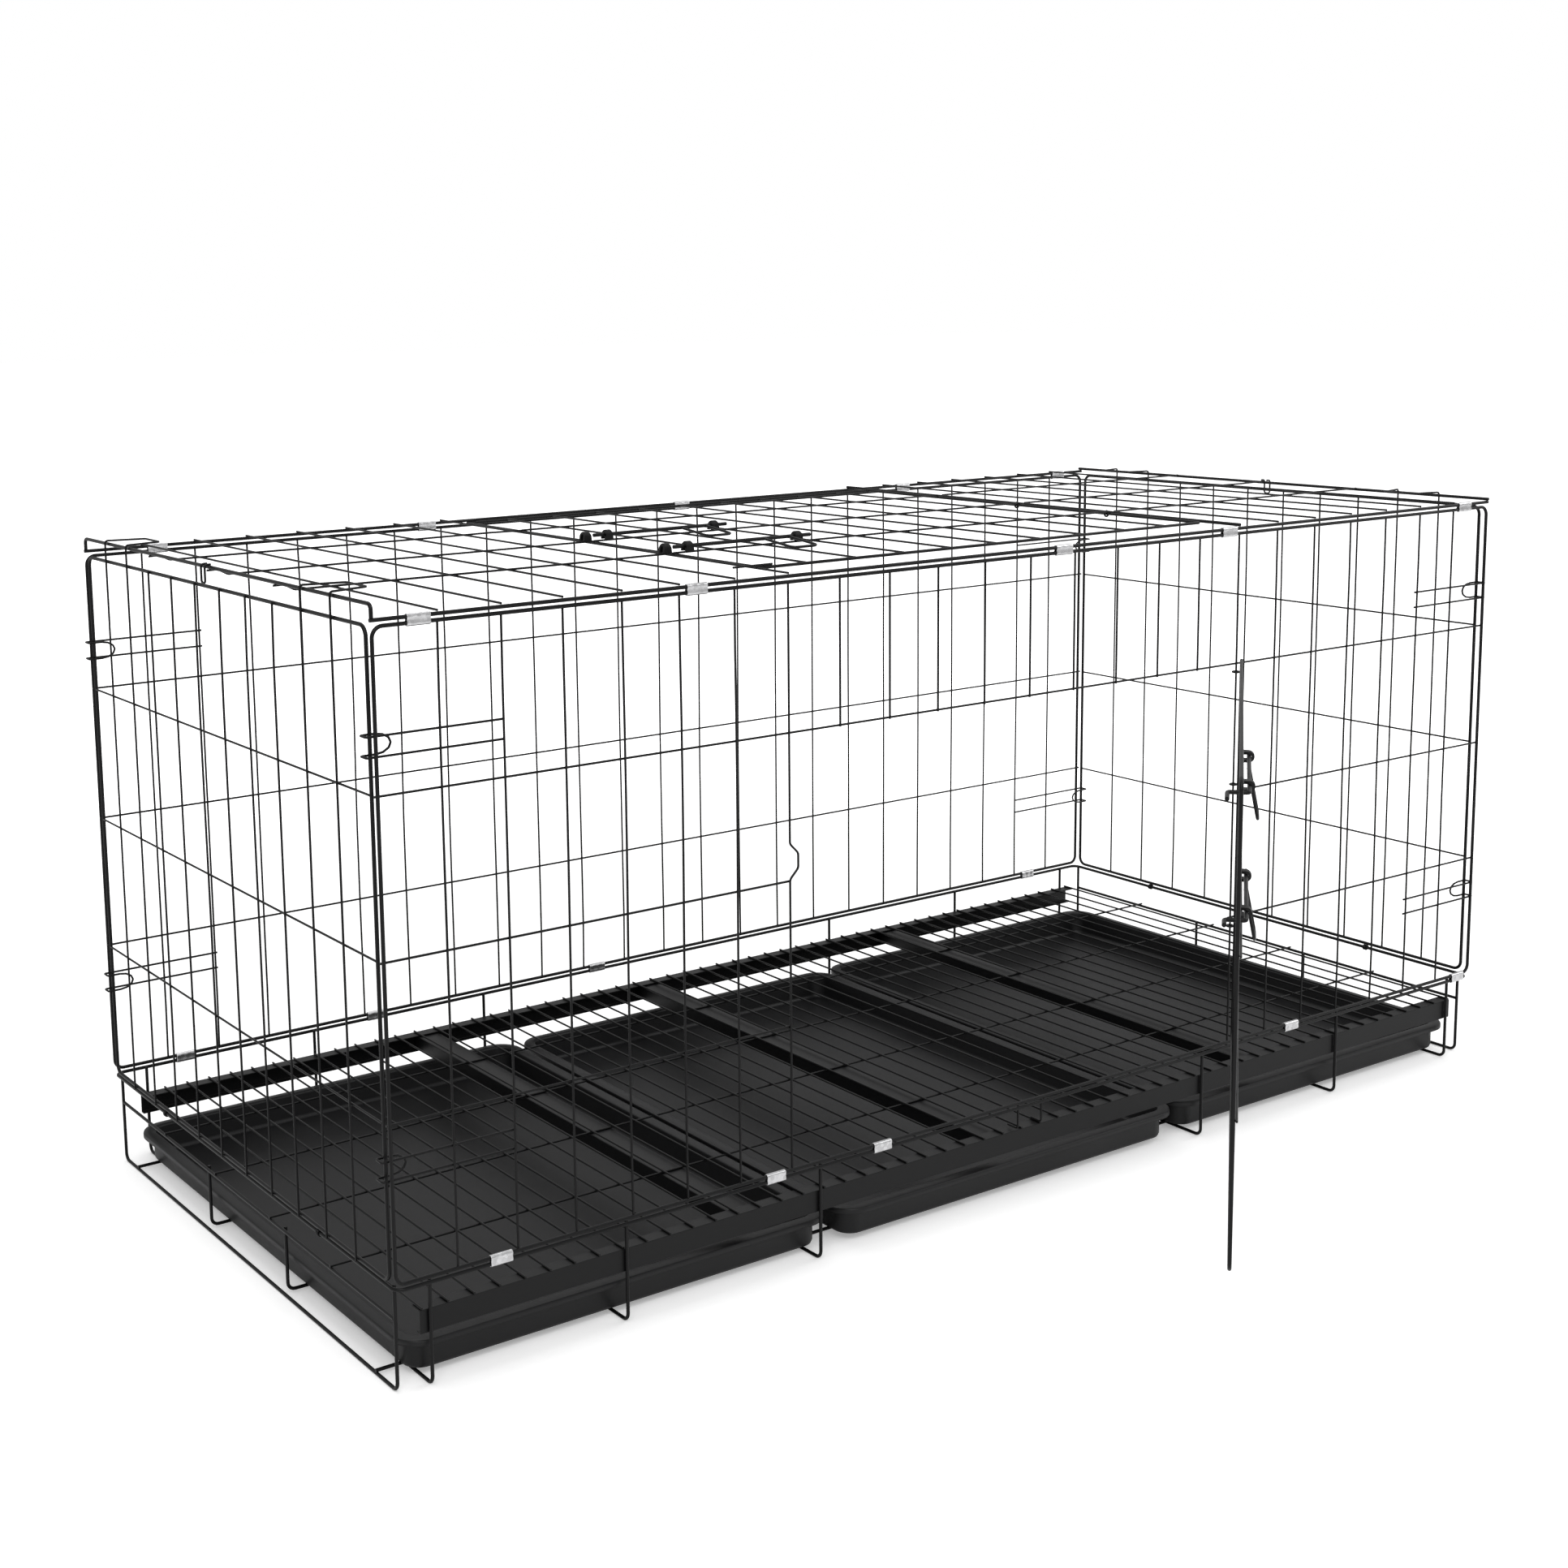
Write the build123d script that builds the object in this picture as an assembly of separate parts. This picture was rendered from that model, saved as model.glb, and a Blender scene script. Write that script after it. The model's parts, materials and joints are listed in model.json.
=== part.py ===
from build123d import *
import math
import os

# Folding wire crate, millimetres. X runs along the length, Y from front to back,
# Z up from the ground. The origin is on the ground, under the middle of the crate.

# Wires
frame_wire = 3.0        # frame loops, rails and the hatch seam
leg_wire = 2.8          # bent legs, ground runners and lower end rails
mesh_wire = 1.8         # uprights, cross wires, hooks and the floor grid
hatch_wire = 2.6        # hatch frame
loop_wire = 2.4         # finger loops of the bolts
frame_bend = 8.0        # centre-line bend of the frame loops
leg_bend = 6.0
small_bend = 4.0

# Grid and overall sizes, to wire centres
pitch = 50.0
spaces = 24
depth = 544.0
panel_height = 465.6
rail_height = 80.0
pair_pitch = 4.4        # two rails that share a clip
running_gap = 0.4       # between pieces that move past each other

# Front doorway and top hatch
door_first = 7          # upright at the latch side, counted from the left
door_last = 17          # upright at the hinge side
door_overlap = 5.0      # door frame beyond the latch upright and above the doorway
door_hinge_offset = 3.2
door_rest_angle = 41.0
door_bump = 8.0
door_bolt_step = 28.0   # where the door bolts step in, from the latch upright
bump_height = 333.0
upper_bolt_height = 423.0
hatch_half_depth = 231.0
top_long_pitch = 120.0
end_wire_rise = 9.4     # left end wire of the top above the side rails
end_loop_drop = 14.0

# End panels
end_panel_inset = 8.0   # sides of the end panels inside the crate's depth
end_spaces = 11
hook_reach = 30.0
hinge_loop_y = 150.0
hinge_loop_width = 5.0

# Base and floor
end_leg_inset = 0.5     # outer end legs inside the sides of the end panels
leg_stations = (220.0, 405.0, 572.0)
runner_stations = (75.0, 232.0)
floor_rail_height = 55.1
floor_pitch = 21.4
floor_long_stations = (54.0, 162.0)
beam_stations = (-290.0, -28.0, 298.0)
beam_width = 22.0
beam_height = 12.0
sheet = 1.0
channel_height = 18.0
channel_flange = 12.0
hold_down_stations = (-7.0, 20.0)

# Trays
tray_width = 390.0
tray_depth = 520.0
tray_height = 26.4
tray_wall = 2.0
tray_rim = 9.0
tray_lip = 5.0
tray_corner = 24.0
tray_gap = 5.0
tray_shift = -3.0
middle_tray_forward = 5.0

# Hooks, clips and bolts
hook_pair = 14.0
hook_heights = (168.0, 468.0)
hook_overhang = 6.0
hook_catch = 14.0
clip_length = 18.0
clip_sheet = 0.8
bolt_rod = 3.2
guide_length = 8.0
guide_wall = 2.2
guide_spacing = 112.0
bolt_clearance = 0.25
finger_width = 26.0
finger_reach = 38.0
finger_drop = 3.6

# Positions that follow from the sizes above
half_length = pitch * spaces / 2
half_depth = depth / 2
panel_bottom = rail_height + pair_pitch
panel_top = panel_bottom + panel_height
top_rail_height = panel_top + pair_pitch
cross_levels = [panel_bottom + panel_height * part / 4 for part in (1, 2, 3)]
end_half_width = half_depth - end_panel_inset
inner_face = half_depth - frame_wire / 2
cross_layer = inner_face - mesh_wire / 2
upright_layer = inner_face + mesh_wire / 2
top_cross_height = top_rail_height + frame_wire / 2 + mesh_wire / 2
top_long_height = top_cross_height + mesh_wire
left_end_height = top_rail_height + frame_wire / 2 + end_wire_rise
right_end_height = top_rail_height + frame_wire
bore_across = frame_wire + 2 * running_gap


def column(index):
    """X of an upright or top cross wire, counted from the left end."""
    return -half_length + index * pitch


door_latch_x = column(door_first)
door_hinge_x = column(door_last)
x_axis = Vector(1, 0, 0)
y_axis = Vector(0, 1, 0)
z_axis = Vector(0, 0, 1)


os.makedirs("parts", exist_ok=True)


def save(name, solids):
    """Write one sub-part."""
    export_step(Compound(children=list(solids)), f"parts/{name}.step")


def wire_section(across, sides):
    """Wire section whose flats face local +Y and -Y."""
    return RegularPolygon(across / 2, sides, major_radius=False, rotation=90 - 180 / sides)


def section_plane(origin, run, flat):
    """Plane square to a run, with its local Y along flat."""
    return Plane(origin=origin, x_dir=flat.cross(run), z_dir=run)


def straight(start, end, across, flat, sides=6):
    """Straight wire from start to end."""
    run = Vector(*end) - Vector(*start)
    return extrude(section_plane(start, run, flat) * wire_section(across, sides), run.length)


def bend_points(points, bend, steps=2):
    """Points of a bent wire, each inner corner cut into short chords."""
    result = [Vector(*points[0])]
    for before, corner, after in zip(points, points[1:], points[2:]):
        corner = Vector(*corner)
        back = (Vector(*before) - corner).normalized()
        ahead = (Vector(*after) - corner).normalized()
        turn = math.pi - math.radians(back.get_angle(ahead))
        reach = bend * math.tan(turn / 2)
        centre = corner + (back + ahead).normalized() * (bend / math.cos(turn / 2))
        first = corner + back * reach - centre
        last = corner + ahead * reach - centre
        for step in range(steps + 1):
            share = step / steps
            spoke = first * math.sin((1 - share) * turn) + last * math.sin(share * turn)
            result.append(centre + spoke * (1 / math.sin(turn)))
    result.append(Vector(*points[-1]))
    return result


def bent(points, bend, across, flat, sides=6, steps=2):
    """Open bent wire with mitred chords in its bends."""
    nodes = bend_points(points, bend, steps) if bend else [Vector(*point) for point in points]
    run = nodes[1] - nodes[0]
    section = section_plane(nodes[0], run, flat) * wire_section(across, sides)
    return sweep(section, path=Polyline(*nodes), transition=Transition.RIGHT)


def frame_loop(corners, bend, across, flat):
    """Closed frame, bent from one wire."""
    joint = (Vector(*corners[0]) + Vector(*corners[1])) * 0.5
    nodes = bend_points([joint, *corners[1:], corners[0], joint], bend, 3)
    section = section_plane(nodes[0], nodes[1] - nodes[0], flat) * wire_section(across, 8)
    return sweep(section, path=Polyline(*nodes[:-1], close=True), transition=Transition.RIGHT)


def bent_legs(points, bend, across, flat):
    """Wire bent into a U, drawn as its straight run and its two bent risers."""
    nodes = bend_points(points, bend, 2)
    middle = len(nodes) // 2
    stretches = (nodes[:middle], nodes[middle - 1:middle + 1], nodes[middle:])
    solids = []
    for stretch in stretches:
        section = section_plane(stretch[0], stretch[1] - stretch[0], flat) * wire_section(across, 8)
        solids.append(sweep(section, path=Polyline(*stretch), transition=Transition.RIGHT))
    return solids


def ring(centre, axis, flat, bore, outer, width):
    """Curl of wire round a round bar, drawn as a flat-sided ring."""
    plane = section_plane(Vector(*centre) - axis * (width / 2), axis, flat)
    return extrude(plane * (wire_section(outer, 8) - wire_section(bore, 8)), width)


def mirrored(solids, plane):
    return [mirror(solid, about=plane) for solid in solids]


# Base: rail loop, U legs, runners and the lower rails that carry the floor
rail_corners = [
    (-half_length, -half_depth, rail_height),
    (half_length, -half_depth, rail_height),
    (half_length, half_depth, rail_height),
    (-half_length, half_depth, rail_height),
]
save("base_rail_loop", [frame_loop(rail_corners, frame_bend, frame_wire, z_axis)])

leg_top = rail_height + frame_wire / 2
leg_half_depth = half_depth - frame_wire / 2 - leg_wire / 2
end_leg_x = half_length - frame_wire / 2 - leg_wire / 2
end_leg_half_depth = end_half_width - end_leg_inset
ground_wire = leg_wire / 2
runner_height = ground_wire + leg_wire


def cross_leg(x, half):
    points = [(x, -half, leg_top), (x, -half, ground_wire), (x, half, ground_wire), (x, half, leg_top)]
    return bent_legs(points, leg_bend, leg_wire, x_axis)


cross_legs = [cross_leg(side * x, leg_half_depth) for x in leg_stations for side in (-1, 1)]
save("base_cross_legs", [solid for leg in cross_legs for solid in leg])
save("base_end_legs", [solid for side in (-1, 1) for solid in cross_leg(side * end_leg_x, end_leg_half_depth)])

riser_x = end_leg_x - leg_wire
riser_top = floor_rail_height + leg_wire / 2
inner_runner, outer_runner = runner_stations
risen = [(-riser_x, 0, riser_top), (-riser_x, 0, runner_height), (riser_x, 0, runner_height), (riser_x, 0, riser_top)]
save("base_end_runners", [
    Pos(0, side * inner_runner, 0) * solid for solid in bent_legs(risen, leg_bend, leg_wire, y_axis) for side in (-1, 1)
])
runner_end = end_leg_x + leg_wire / 2
save("base_side_runners", [
    straight((-runner_end, side * outer_runner, runner_height), (runner_end, side * outer_runner, runner_height),
             leg_wire, z_axis, 8) for side in (-1, 1)
])
lower_rail_end = end_leg_half_depth - leg_wire / 2
save("base_lower_end_rails", [
    straight((side * end_leg_x, -lower_rail_end, floor_rail_height), (side * end_leg_x, lower_rail_end, floor_rail_height),
             leg_wire, z_axis, 8) for side in (-1, 1)
])

# Floor: long wires on the lower end rails, grid wires on them, side channels and beams
floor_long_height = floor_rail_height + leg_wire / 2 + mesh_wire / 2
floor_grid_height = floor_long_height + mesh_wire
flange_top = floor_grid_height - mesh_wire / 2
channel_face = half_depth - frame_wire / 2 - leg_wire - running_gap
grid_count = int((riser_x - mesh_wire) / floor_pitch)
floor_end = end_leg_x + leg_wire / 2
channel_end = grid_count * floor_pitch + mesh_wire

save("floor_grid_wires", [
    straight((index * floor_pitch, -channel_face, floor_grid_height), (index * floor_pitch, channel_face, floor_grid_height),
             mesh_wire, z_axis) for index in range(-grid_count, grid_count + 1)
])
save("floor_long_wires", [
    straight((-floor_end, side * y, floor_long_height), (floor_end, side * y, floor_long_height), mesh_wire, z_axis)
    for y in floor_long_stations for side in (-1, 1)
])

channel_lines = Polyline(
    (channel_face - channel_flange, flange_top),
    (channel_face, flange_top),
    (channel_face, flange_top - channel_height),
    (channel_face - channel_flange / 2, flange_top - channel_height),
    (channel_face - channel_flange / 2, flange_top - channel_height + sheet),
    (channel_face - sheet, flange_top - channel_height + sheet),
    (channel_face - sheet, flange_top - sheet),
    (channel_face - channel_flange, flange_top - sheet),
    close=True,
)
channel_plane = Plane(origin=(-channel_end, 0, 0), x_dir=(0, 1, 0), z_dir=(1, 0, 0))
back_channel = extrude(channel_plane * make_face(channel_lines), 2 * channel_end)
save("floor_side_channels", [back_channel, mirror(back_channel, about=Plane.XZ)])

beam_top = floor_long_height - mesh_wire / 2
beam_half = channel_face - sheet
beam_outer = Rectangle(beam_width, beam_height, align=(Align.CENTER, Align.MAX))
beam_inner = Rectangle(beam_width - 2 * sheet, beam_height - sheet, align=(Align.CENTER, Align.MAX))
beam_profile = beam_outer - Pos(0, -sheet) * beam_inner


def floor_beam(x):
    plane = Plane(origin=(x, beam_half, beam_top), x_dir=(1, 0, 0), z_dir=(0, -1, 0))
    return extrude(plane * beam_profile, 2 * beam_half)


save("floor_cross_beams", [floor_beam(x) for x in beam_stations])

foot_height = floor_grid_height + mesh_wire
hold_down_y = -half_depth + frame_wire / 2 + mesh_wire / 2
hold_down = [(0, hold_down_y, leg_top), (0, hold_down_y, foot_height), (0, hold_down_y + channel_flange, foot_height)]
save("floor_hold_down_hooks", [
    Pos(x, 0, 0) * bent(hold_down, mesh_wire, mesh_wire, y_axis) for x in hold_down_stations
])

# Three trays with a turned-down rim, resting on the ground runners
tray_bottom = runner_height + leg_wire / 2


def tray():
    """Tray with its corner of the floor at z = 0, centred on x and y."""
    body_width = tray_width - 2 * tray_rim
    body_depth = tray_depth - 2 * tray_rim
    body = extrude(RectangleRounded(body_width, body_depth, tray_corner - tray_rim), tray_height)
    rim = RectangleRounded(tray_width, tray_depth, tray_corner)
    rim_inner = RectangleRounded(tray_width - 2 * tray_wall, tray_depth - 2 * tray_wall, tray_corner - tray_wall)
    lip = Pos(0, 0, tray_height - tray_lip) * extrude(rim - rim_inner, tray_lip)
    flange = Pos(0, 0, tray_height - tray_wall) * extrude(rim, tray_wall)
    inside = RectangleRounded(body_width - 2 * tray_wall, body_depth - 2 * tray_wall, tray_corner - tray_rim - tray_wall)
    return body + flange + lip - Pos(0, 0, tray_wall) * extrude(inside, tray_height)


tray_step = tray_width + tray_gap
tray_y = tray_shift
save("tray_left", [Pos(-tray_step, tray_y, tray_bottom) * tray()])
save("tray_middle", [Pos(0, tray_y - middle_tray_forward, tray_bottom) * tray()])
save("tray_right", [Pos(tray_step, tray_y, tray_bottom) * tray()])

# Front and back panels
panel_corners = [
    (-half_length, -half_depth, panel_bottom),
    (half_length, -half_depth, panel_bottom),
    (half_length, -half_depth, panel_top),
    (-half_length, -half_depth, panel_top),
]
front_loop = frame_loop(panel_corners, frame_bend, frame_wire, y_axis)
save("front_panel_frame", [front_loop])
save("back_panel_frame", mirrored([front_loop], Plane.XZ))

upright_foot = panel_bottom + frame_wire / 2
upright_head = panel_top - frame_wire / 2
first_level, middle_level, door_level = cross_levels
wire_stub = frame_wire / 2


def upright(index, foot):
    x = column(index)
    return straight((x, -upright_layer, foot), (x, -upright_layer, upright_head), mesh_wire, y_axis)


bump_points = [
    (door_latch_x, -upright_layer, upright_foot),
    (door_latch_x, -upright_layer, bump_height - 1.6 * door_bump),
    (door_latch_x + door_bump, -upright_layer, bump_height - 0.6 * door_bump),
    (door_latch_x + door_bump, -upright_layer, bump_height + 0.6 * door_bump),
    (door_latch_x, -upright_layer, bump_height + 1.6 * door_bump),
    (door_latch_x, -upright_layer, upright_head),
]
over_door = range(door_first + 1, door_last)
full_uprights = [index for index in range(1, spaces) if index not in over_door and index != door_first]
door_head = door_level - mesh_wire / 2
save("front_panel_uprights", [upright(index, upright_foot) for index in full_uprights])
save("front_panel_short_uprights", [upright(index, door_head) for index in over_door])
save("front_panel_latch_upright", [bent(bump_points, 0, mesh_wire, y_axis)])
save("back_panel_uprights", mirrored([upright(index, upright_foot) for index in range(1, spaces)], Plane.XZ))


def cross_wire(start_x, end_x, z):
    return straight((start_x, -cross_layer, z), (end_x, -cross_layer, z), mesh_wire, y_axis)


panel_edge = half_length + wire_stub
front_cross = [cross_wire(-panel_edge, panel_edge, door_level)]
for level in (first_level, middle_level):
    front_cross.append(cross_wire(-panel_edge, door_latch_x + wire_stub, level))
    front_cross.append(cross_wire(door_hinge_x - wire_stub, panel_edge, level))
save("front_panel_cross_wires", front_cross)
save("back_panel_cross_wires", mirrored([cross_wire(-panel_edge, panel_edge, z) for z in cross_levels], Plane.XZ))

# Corner hooks: two prongs that reach round the end panel's frame, joined by a catch behind it
prong = hook_pair / 2
prong_start = column(spaces - 2) - wire_stub
prong_end = half_length + hook_overhang
catch_layer = end_half_width - frame_wire / 2 - running_gap - mesh_wire * 0.7
hook_outline = [
    (prong_start, cross_layer, prong),
    (prong_end, cross_layer, prong),
    (prong_end, catch_layer, prong),
    (prong_end - hook_catch, catch_layer, prong),
    (prong_end - 1.7 * hook_catch, catch_layer, prong / 2),
    (prong_end - 1.7 * hook_catch, catch_layer, -prong / 2),
    (prong_end - hook_catch, catch_layer, -prong),
    (prong_end, catch_layer, -prong),
    (prong_end, cross_layer, -prong),
    (prong_start, cross_layer, -prong),
]


def corner_hook(z):
    return bent([(x, -y, z + rise) for x, y, rise in hook_outline], 0, mesh_wire, y_axis)


right_hooks = [corner_hook(z) for z in hook_heights]
front_hooks = right_hooks + mirrored(right_hooks, Plane.YZ)
save("front_corner_hooks", front_hooks)
save("back_corner_hooks", mirrored(front_hooks, Plane.XZ))

# Top panel
rail_end = half_length + frame_wire / 2
save("top_side_rails", [
    straight((-rail_end, side * half_depth, top_rail_height), (rail_end, side * half_depth, top_rail_height),
             frame_wire, z_axis, 8) for side in (-1, 1)
])
rail_top = top_rail_height + frame_wire / 2
staple = [
    (-half_length, -half_depth, rail_top),
    (-half_length, -half_depth, left_end_height),
    (-half_length, half_depth, left_end_height),
    (-half_length, half_depth, rail_top),
]
left_end_wire = bent(staple, small_bend, frame_wire, x_axis, sides=8)
right_end_wire = straight((half_length, -half_depth - mesh_wire, right_end_height),
                          (half_length, half_depth + mesh_wire, right_end_height), frame_wire, z_axis, 8)
save("top_end_wires", [left_end_wire, right_end_wire])

cross_end = half_depth
top_fixed = [index for index in range(1, spaces) if index <= door_first or index > door_last]
save("top_cross_wires", [
    straight((column(index), -cross_end, top_cross_height), (column(index), cross_end, top_cross_height), mesh_wire, z_axis)
    for index in top_fixed
])
seam_height = rail_top + frame_wire / 2
save("top_seam_wire", [
    straight((door_hinge_x, -cross_end, seam_height), (door_hinge_x, cross_end, seam_height), frame_wire, z_axis, 8)
])
top_long_y = [step * top_long_pitch for step in (-1, 0, 1)]


def long_wire(start_x, end_x, y, z):
    return straight((start_x, y, z), (end_x, y, z), mesh_wire, z_axis)


def risen_wire(y):
    """Long wire that steps up under the raised left end wire."""
    weld = left_end_height - frame_wire / 2 - mesh_wire / 2
    step = 2 * frame_bend
    points = [
        (-rail_end, y, weld),
        (step / 2 - half_length, y, weld),
        (step - half_length, y, top_long_height),
        (door_latch_x, y, top_long_height),
    ]
    return bent(points, 0, mesh_wire, z_axis)


seam_edge = door_hinge_x + frame_wire / 2
end_wire_face = half_length - frame_wire / 2
save("top_long_wires", [risen_wire(y) for y in top_long_y]
     + [long_wire(seam_edge, end_wire_face, y, top_long_height) for y in top_long_y])

# Small loops that hang from the end wires, outside the end panels
end_shift = running_gap
panel_skin = half_length + end_shift + frame_wire / 2 + mesh_wire
loop_x = panel_skin + running_gap + mesh_wire / 2


def end_loop(side, end_wire_height):
    top = end_wire_height + frame_wire / 2 + mesh_wire / 2
    outline = [
        (half_length, -2 * mesh_wire, top),
        (loop_x, -2 * mesh_wire, top),
        (loop_x, -2 * mesh_wire, top - end_loop_drop),
        (loop_x, 2 * mesh_wire, top - end_loop_drop),
        (loop_x, 2 * mesh_wire, top),
        (half_length, 2 * mesh_wire, top),
    ]
    return bent([(side * x, y, z) for x, y, z in outline], 0, mesh_wire, z_axis)


save("top_end_loops", [end_loop(-1, left_end_height), end_loop(1, right_end_height)])

# End panels, hinged on the end rails of the base
end_x = half_length + end_shift
end_corners = [
    (end_x, -end_half_width, panel_bottom),
    (end_x, end_half_width, panel_bottom),
    (end_x, end_half_width, panel_top),
    (end_x, -end_half_width, panel_top),
]
end_pitch = 2 * end_half_width / end_spaces
end_wire_x = end_x + frame_wire / 2 + mesh_wire / 2
end_cross_x = end_x + frame_wire / 2 - mesh_wire / 2
hooked = (1, 2, end_spaces - 2, end_spaces - 1)
end_plain = [index for index in range(1, end_spaces) if index not in hooked]


def end_y(index):
    return -end_half_width + index * end_pitch


def end_upright(index):
    start = (end_wire_x, end_y(index), panel_bottom - frame_wire / 2)
    return straight(start, (end_wire_x, end_y(index), panel_top + frame_wire / 2), mesh_wire, x_axis)


def end_hairpin(index, end_wire_height):
    """Two uprights bent from one wire that reaches over the top end wire."""
    hook_height = end_wire_height + frame_wire / 2 + running_gap + mesh_wire / 2
    near, far = end_y(index), end_y(index + 1)
    tip = end_x - hook_reach
    points = [
        (end_wire_x, near, panel_bottom - frame_wire / 2),
        (end_wire_x, near, hook_height),
        (tip, near + 2 * small_bend, hook_height),
        (tip, far - 2 * small_bend, hook_height),
        (end_wire_x, far, hook_height),
        (end_wire_x, far, panel_bottom - frame_wire / 2),
    ]
    return bent(points, mesh_wire, mesh_wire, x_axis)


def end_cross(z):
    reach = end_half_width - frame_wire / 2
    return straight((end_cross_x, -reach, z), (end_cross_x, reach, z), mesh_wire, x_axis)


ring_outer = 2 * (pair_pitch - frame_wire / 2)
right_end = {
    "frame": [frame_loop(end_corners, frame_bend, frame_wire, x_axis)],
    "uprights": [end_upright(index) for index in end_plain],
    "cross_wires": [end_cross(z) for z in cross_levels],
    "hinge_loops": [
        ring((half_length, side * hinge_loop_y, rail_height), y_axis, z_axis, bore_across, ring_outer, hinge_loop_width)
        for side in (-1, 1)
    ],
}
for piece, solids in right_end.items():
    save(f"right_end_{piece}", solids)
    save(f"left_end_{piece}", mirrored(solids, Plane.YZ))
hairpins = (1, end_spaces - 2)
save("right_end_hooks", [end_hairpin(index, right_end_height) for index in hairpins])
save("left_end_hooks", mirrored([end_hairpin(index, left_end_height) for index in hairpins], Plane.YZ))

# Clips round each pair of rails
chamfer_leg = frame_wire / 2 * (1 - math.tan(math.pi / 8))


def boxed(width, height, cut):
    outline = Rectangle(width, height)
    return chamfer(outline.vertices(), cut)


clip_profile = boxed(frame_wire + 2 * clip_sheet, pair_pitch + frame_wire + 2 * clip_sheet, chamfer_leg + clip_sheet / 2)
clip_profile -= boxed(frame_wire, pair_pitch + frame_wire, chamfer_leg)


def clip(x, y, lower_height):
    centre = (x - clip_length / 2, y, lower_height + pair_pitch / 2)
    return extrude(Plane(origin=centre, x_dir=(0, 1, 0), z_dir=(1, 0, 0)) * clip_profile, clip_length)


clip_rows = {
    "clips_top_front": (-half_depth, panel_top, (-565.0, -335.0, 36.0, 236.0, 565.0)),
    "clips_top_back": (half_depth, panel_top, (-535.0, -265.0, 31.0, 328.0, 563.0)),
    "clips_base_front": (-half_depth, rail_height, (-515.0, -267.0, -159.0, 336.0, 582.8)),
    "clips_base_back": (half_depth, rail_height, (-533.0, -338.0, -84.0, 521.0)),
}
for name, (y, lower_height, stations) in clip_rows.items():
    save(name, [clip(x, y, lower_height) for x in stations])

# Slide bolts, drawn along +X from a tip at the origin, with the panel they lie on below them
guide_size = bolt_rod + 2 * bolt_clearance + 2 * guide_wall
rod_lift = guide_size / 2
tip_margin = 14.0
rod_length = tip_margin + guide_spacing + tip_margin
finger_end = tip_margin + guide_spacing - guide_length - bolt_clearance


def guide(x, play=bolt_clearance):
    """Block with a bore for the rod, centred on the rod's line."""
    profile = chamfer(Rectangle(guide_size, guide_size).vertices(), guide_wall / 2)
    profile -= wire_section(bolt_rod + 2 * play, 8)
    plane = Plane(origin=(x - guide_length / 2, 0, 0), x_dir=(0, 1, 0), z_dir=(1, 0, 0))
    return extrude(plane * profile, guide_length)


def finger_loop(drop):
    """Pull loop, welded to the underside of the rod's middle stretch."""
    height = -bolt_rod / 2 + loop_wire / 2
    near_y = -bolt_rod / 2
    points = [
        (finger_end, near_y, height),
        (finger_end, near_y - finger_reach, height - drop),
        (finger_end - finger_width, near_y - finger_reach, height - drop),
        (finger_end - finger_width, near_y, height),
    ]
    return bent(points, small_bend, loop_wire, x_axis)


# Top hatch, hinged in two curls on the seam wire
curl_outer = 2 * (mesh_wire + bore_across / 2 - (frame_wire - hatch_wire) / 2)
hatch_axis_x = door_hinge_x - frame_wire / 2 - curl_outer / 2
hatch_free_x = door_latch_x + frame_wire / 2 + curl_outer / 2
hatch_long_height = top_long_height + running_gap / 2
hatch_height = hatch_long_height - mesh_wire / 2 - hatch_wire / 2
hatch_corners = [
    (hatch_free_x, -hatch_half_depth, hatch_height),
    (hatch_axis_x, -hatch_half_depth, hatch_height),
    (hatch_axis_x, hatch_half_depth, hatch_height),
    (hatch_free_x, hatch_half_depth, hatch_height),
]
save("hatch_frame", [frame_loop(hatch_corners, small_bend, hatch_wire, z_axis)])
hatch_cross_height = hatch_long_height - mesh_wire
hatch_cross_end = hatch_half_depth - hatch_wire / 2
save("hatch_cross_wires", [
    straight((column(index), -hatch_cross_end, hatch_cross_height), (column(index), hatch_cross_end, hatch_cross_height),
             mesh_wire, z_axis) for index in over_door
])
hatch_long_start = door_latch_x + running_gap
save("hatch_long_wires", [long_wire(hatch_long_start, hatch_axis_x, y, hatch_long_height) for y in top_long_y])
save("hatch_rest_hooks", [
    long_wire(door_latch_x - 12 * mesh_wire, hatch_free_x + 6 * mesh_wire, side * hatch_half_depth, hatch_long_height)
    for side in (-1, 1)
])
curl_bore = hatch_wire + 2 * running_gap
save("hatch_hinge_curls", [
    ring((hatch_axis_x, y + 2 * mesh_wire, hatch_height), y_axis, z_axis, curl_bore, curl_outer, mesh_wire)
    for y in top_long_y[:2]
])

guide_seat = hatch_long_height + mesh_wire / 2
hatch_rod_height = guide_seat + rod_lift
hatch_tip_x = door_latch_x
hatch_latches = {"front": -top_long_pitch, "rear": 0.0}
for side, y in hatch_latches.items():
    place = Pos(hatch_tip_x, y, hatch_rod_height)
    rod = straight((0, 0, 0), (rod_length, 0, 0), bolt_rod, z_axis, 8)
    save(f"hatch_{side}_bolt", [place * rod, place * finger_loop(finger_drop)])
save("hatch_bolt_guides", [
    Pos(hatch_tip_x, y, hatch_rod_height) * guide(tip_margin + step * guide_spacing)
    for y in hatch_latches.values() for step in (0, 1)
])
keeper_height = hatch_rod_height - running_gap / 2
save("hatch_bolt_keepers", [
    Pos(hatch_tip_x, y, keeper_height) * guide(-guide_length, bolt_clearance + running_gap / 2)
    for y in hatch_latches.values()
])

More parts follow.
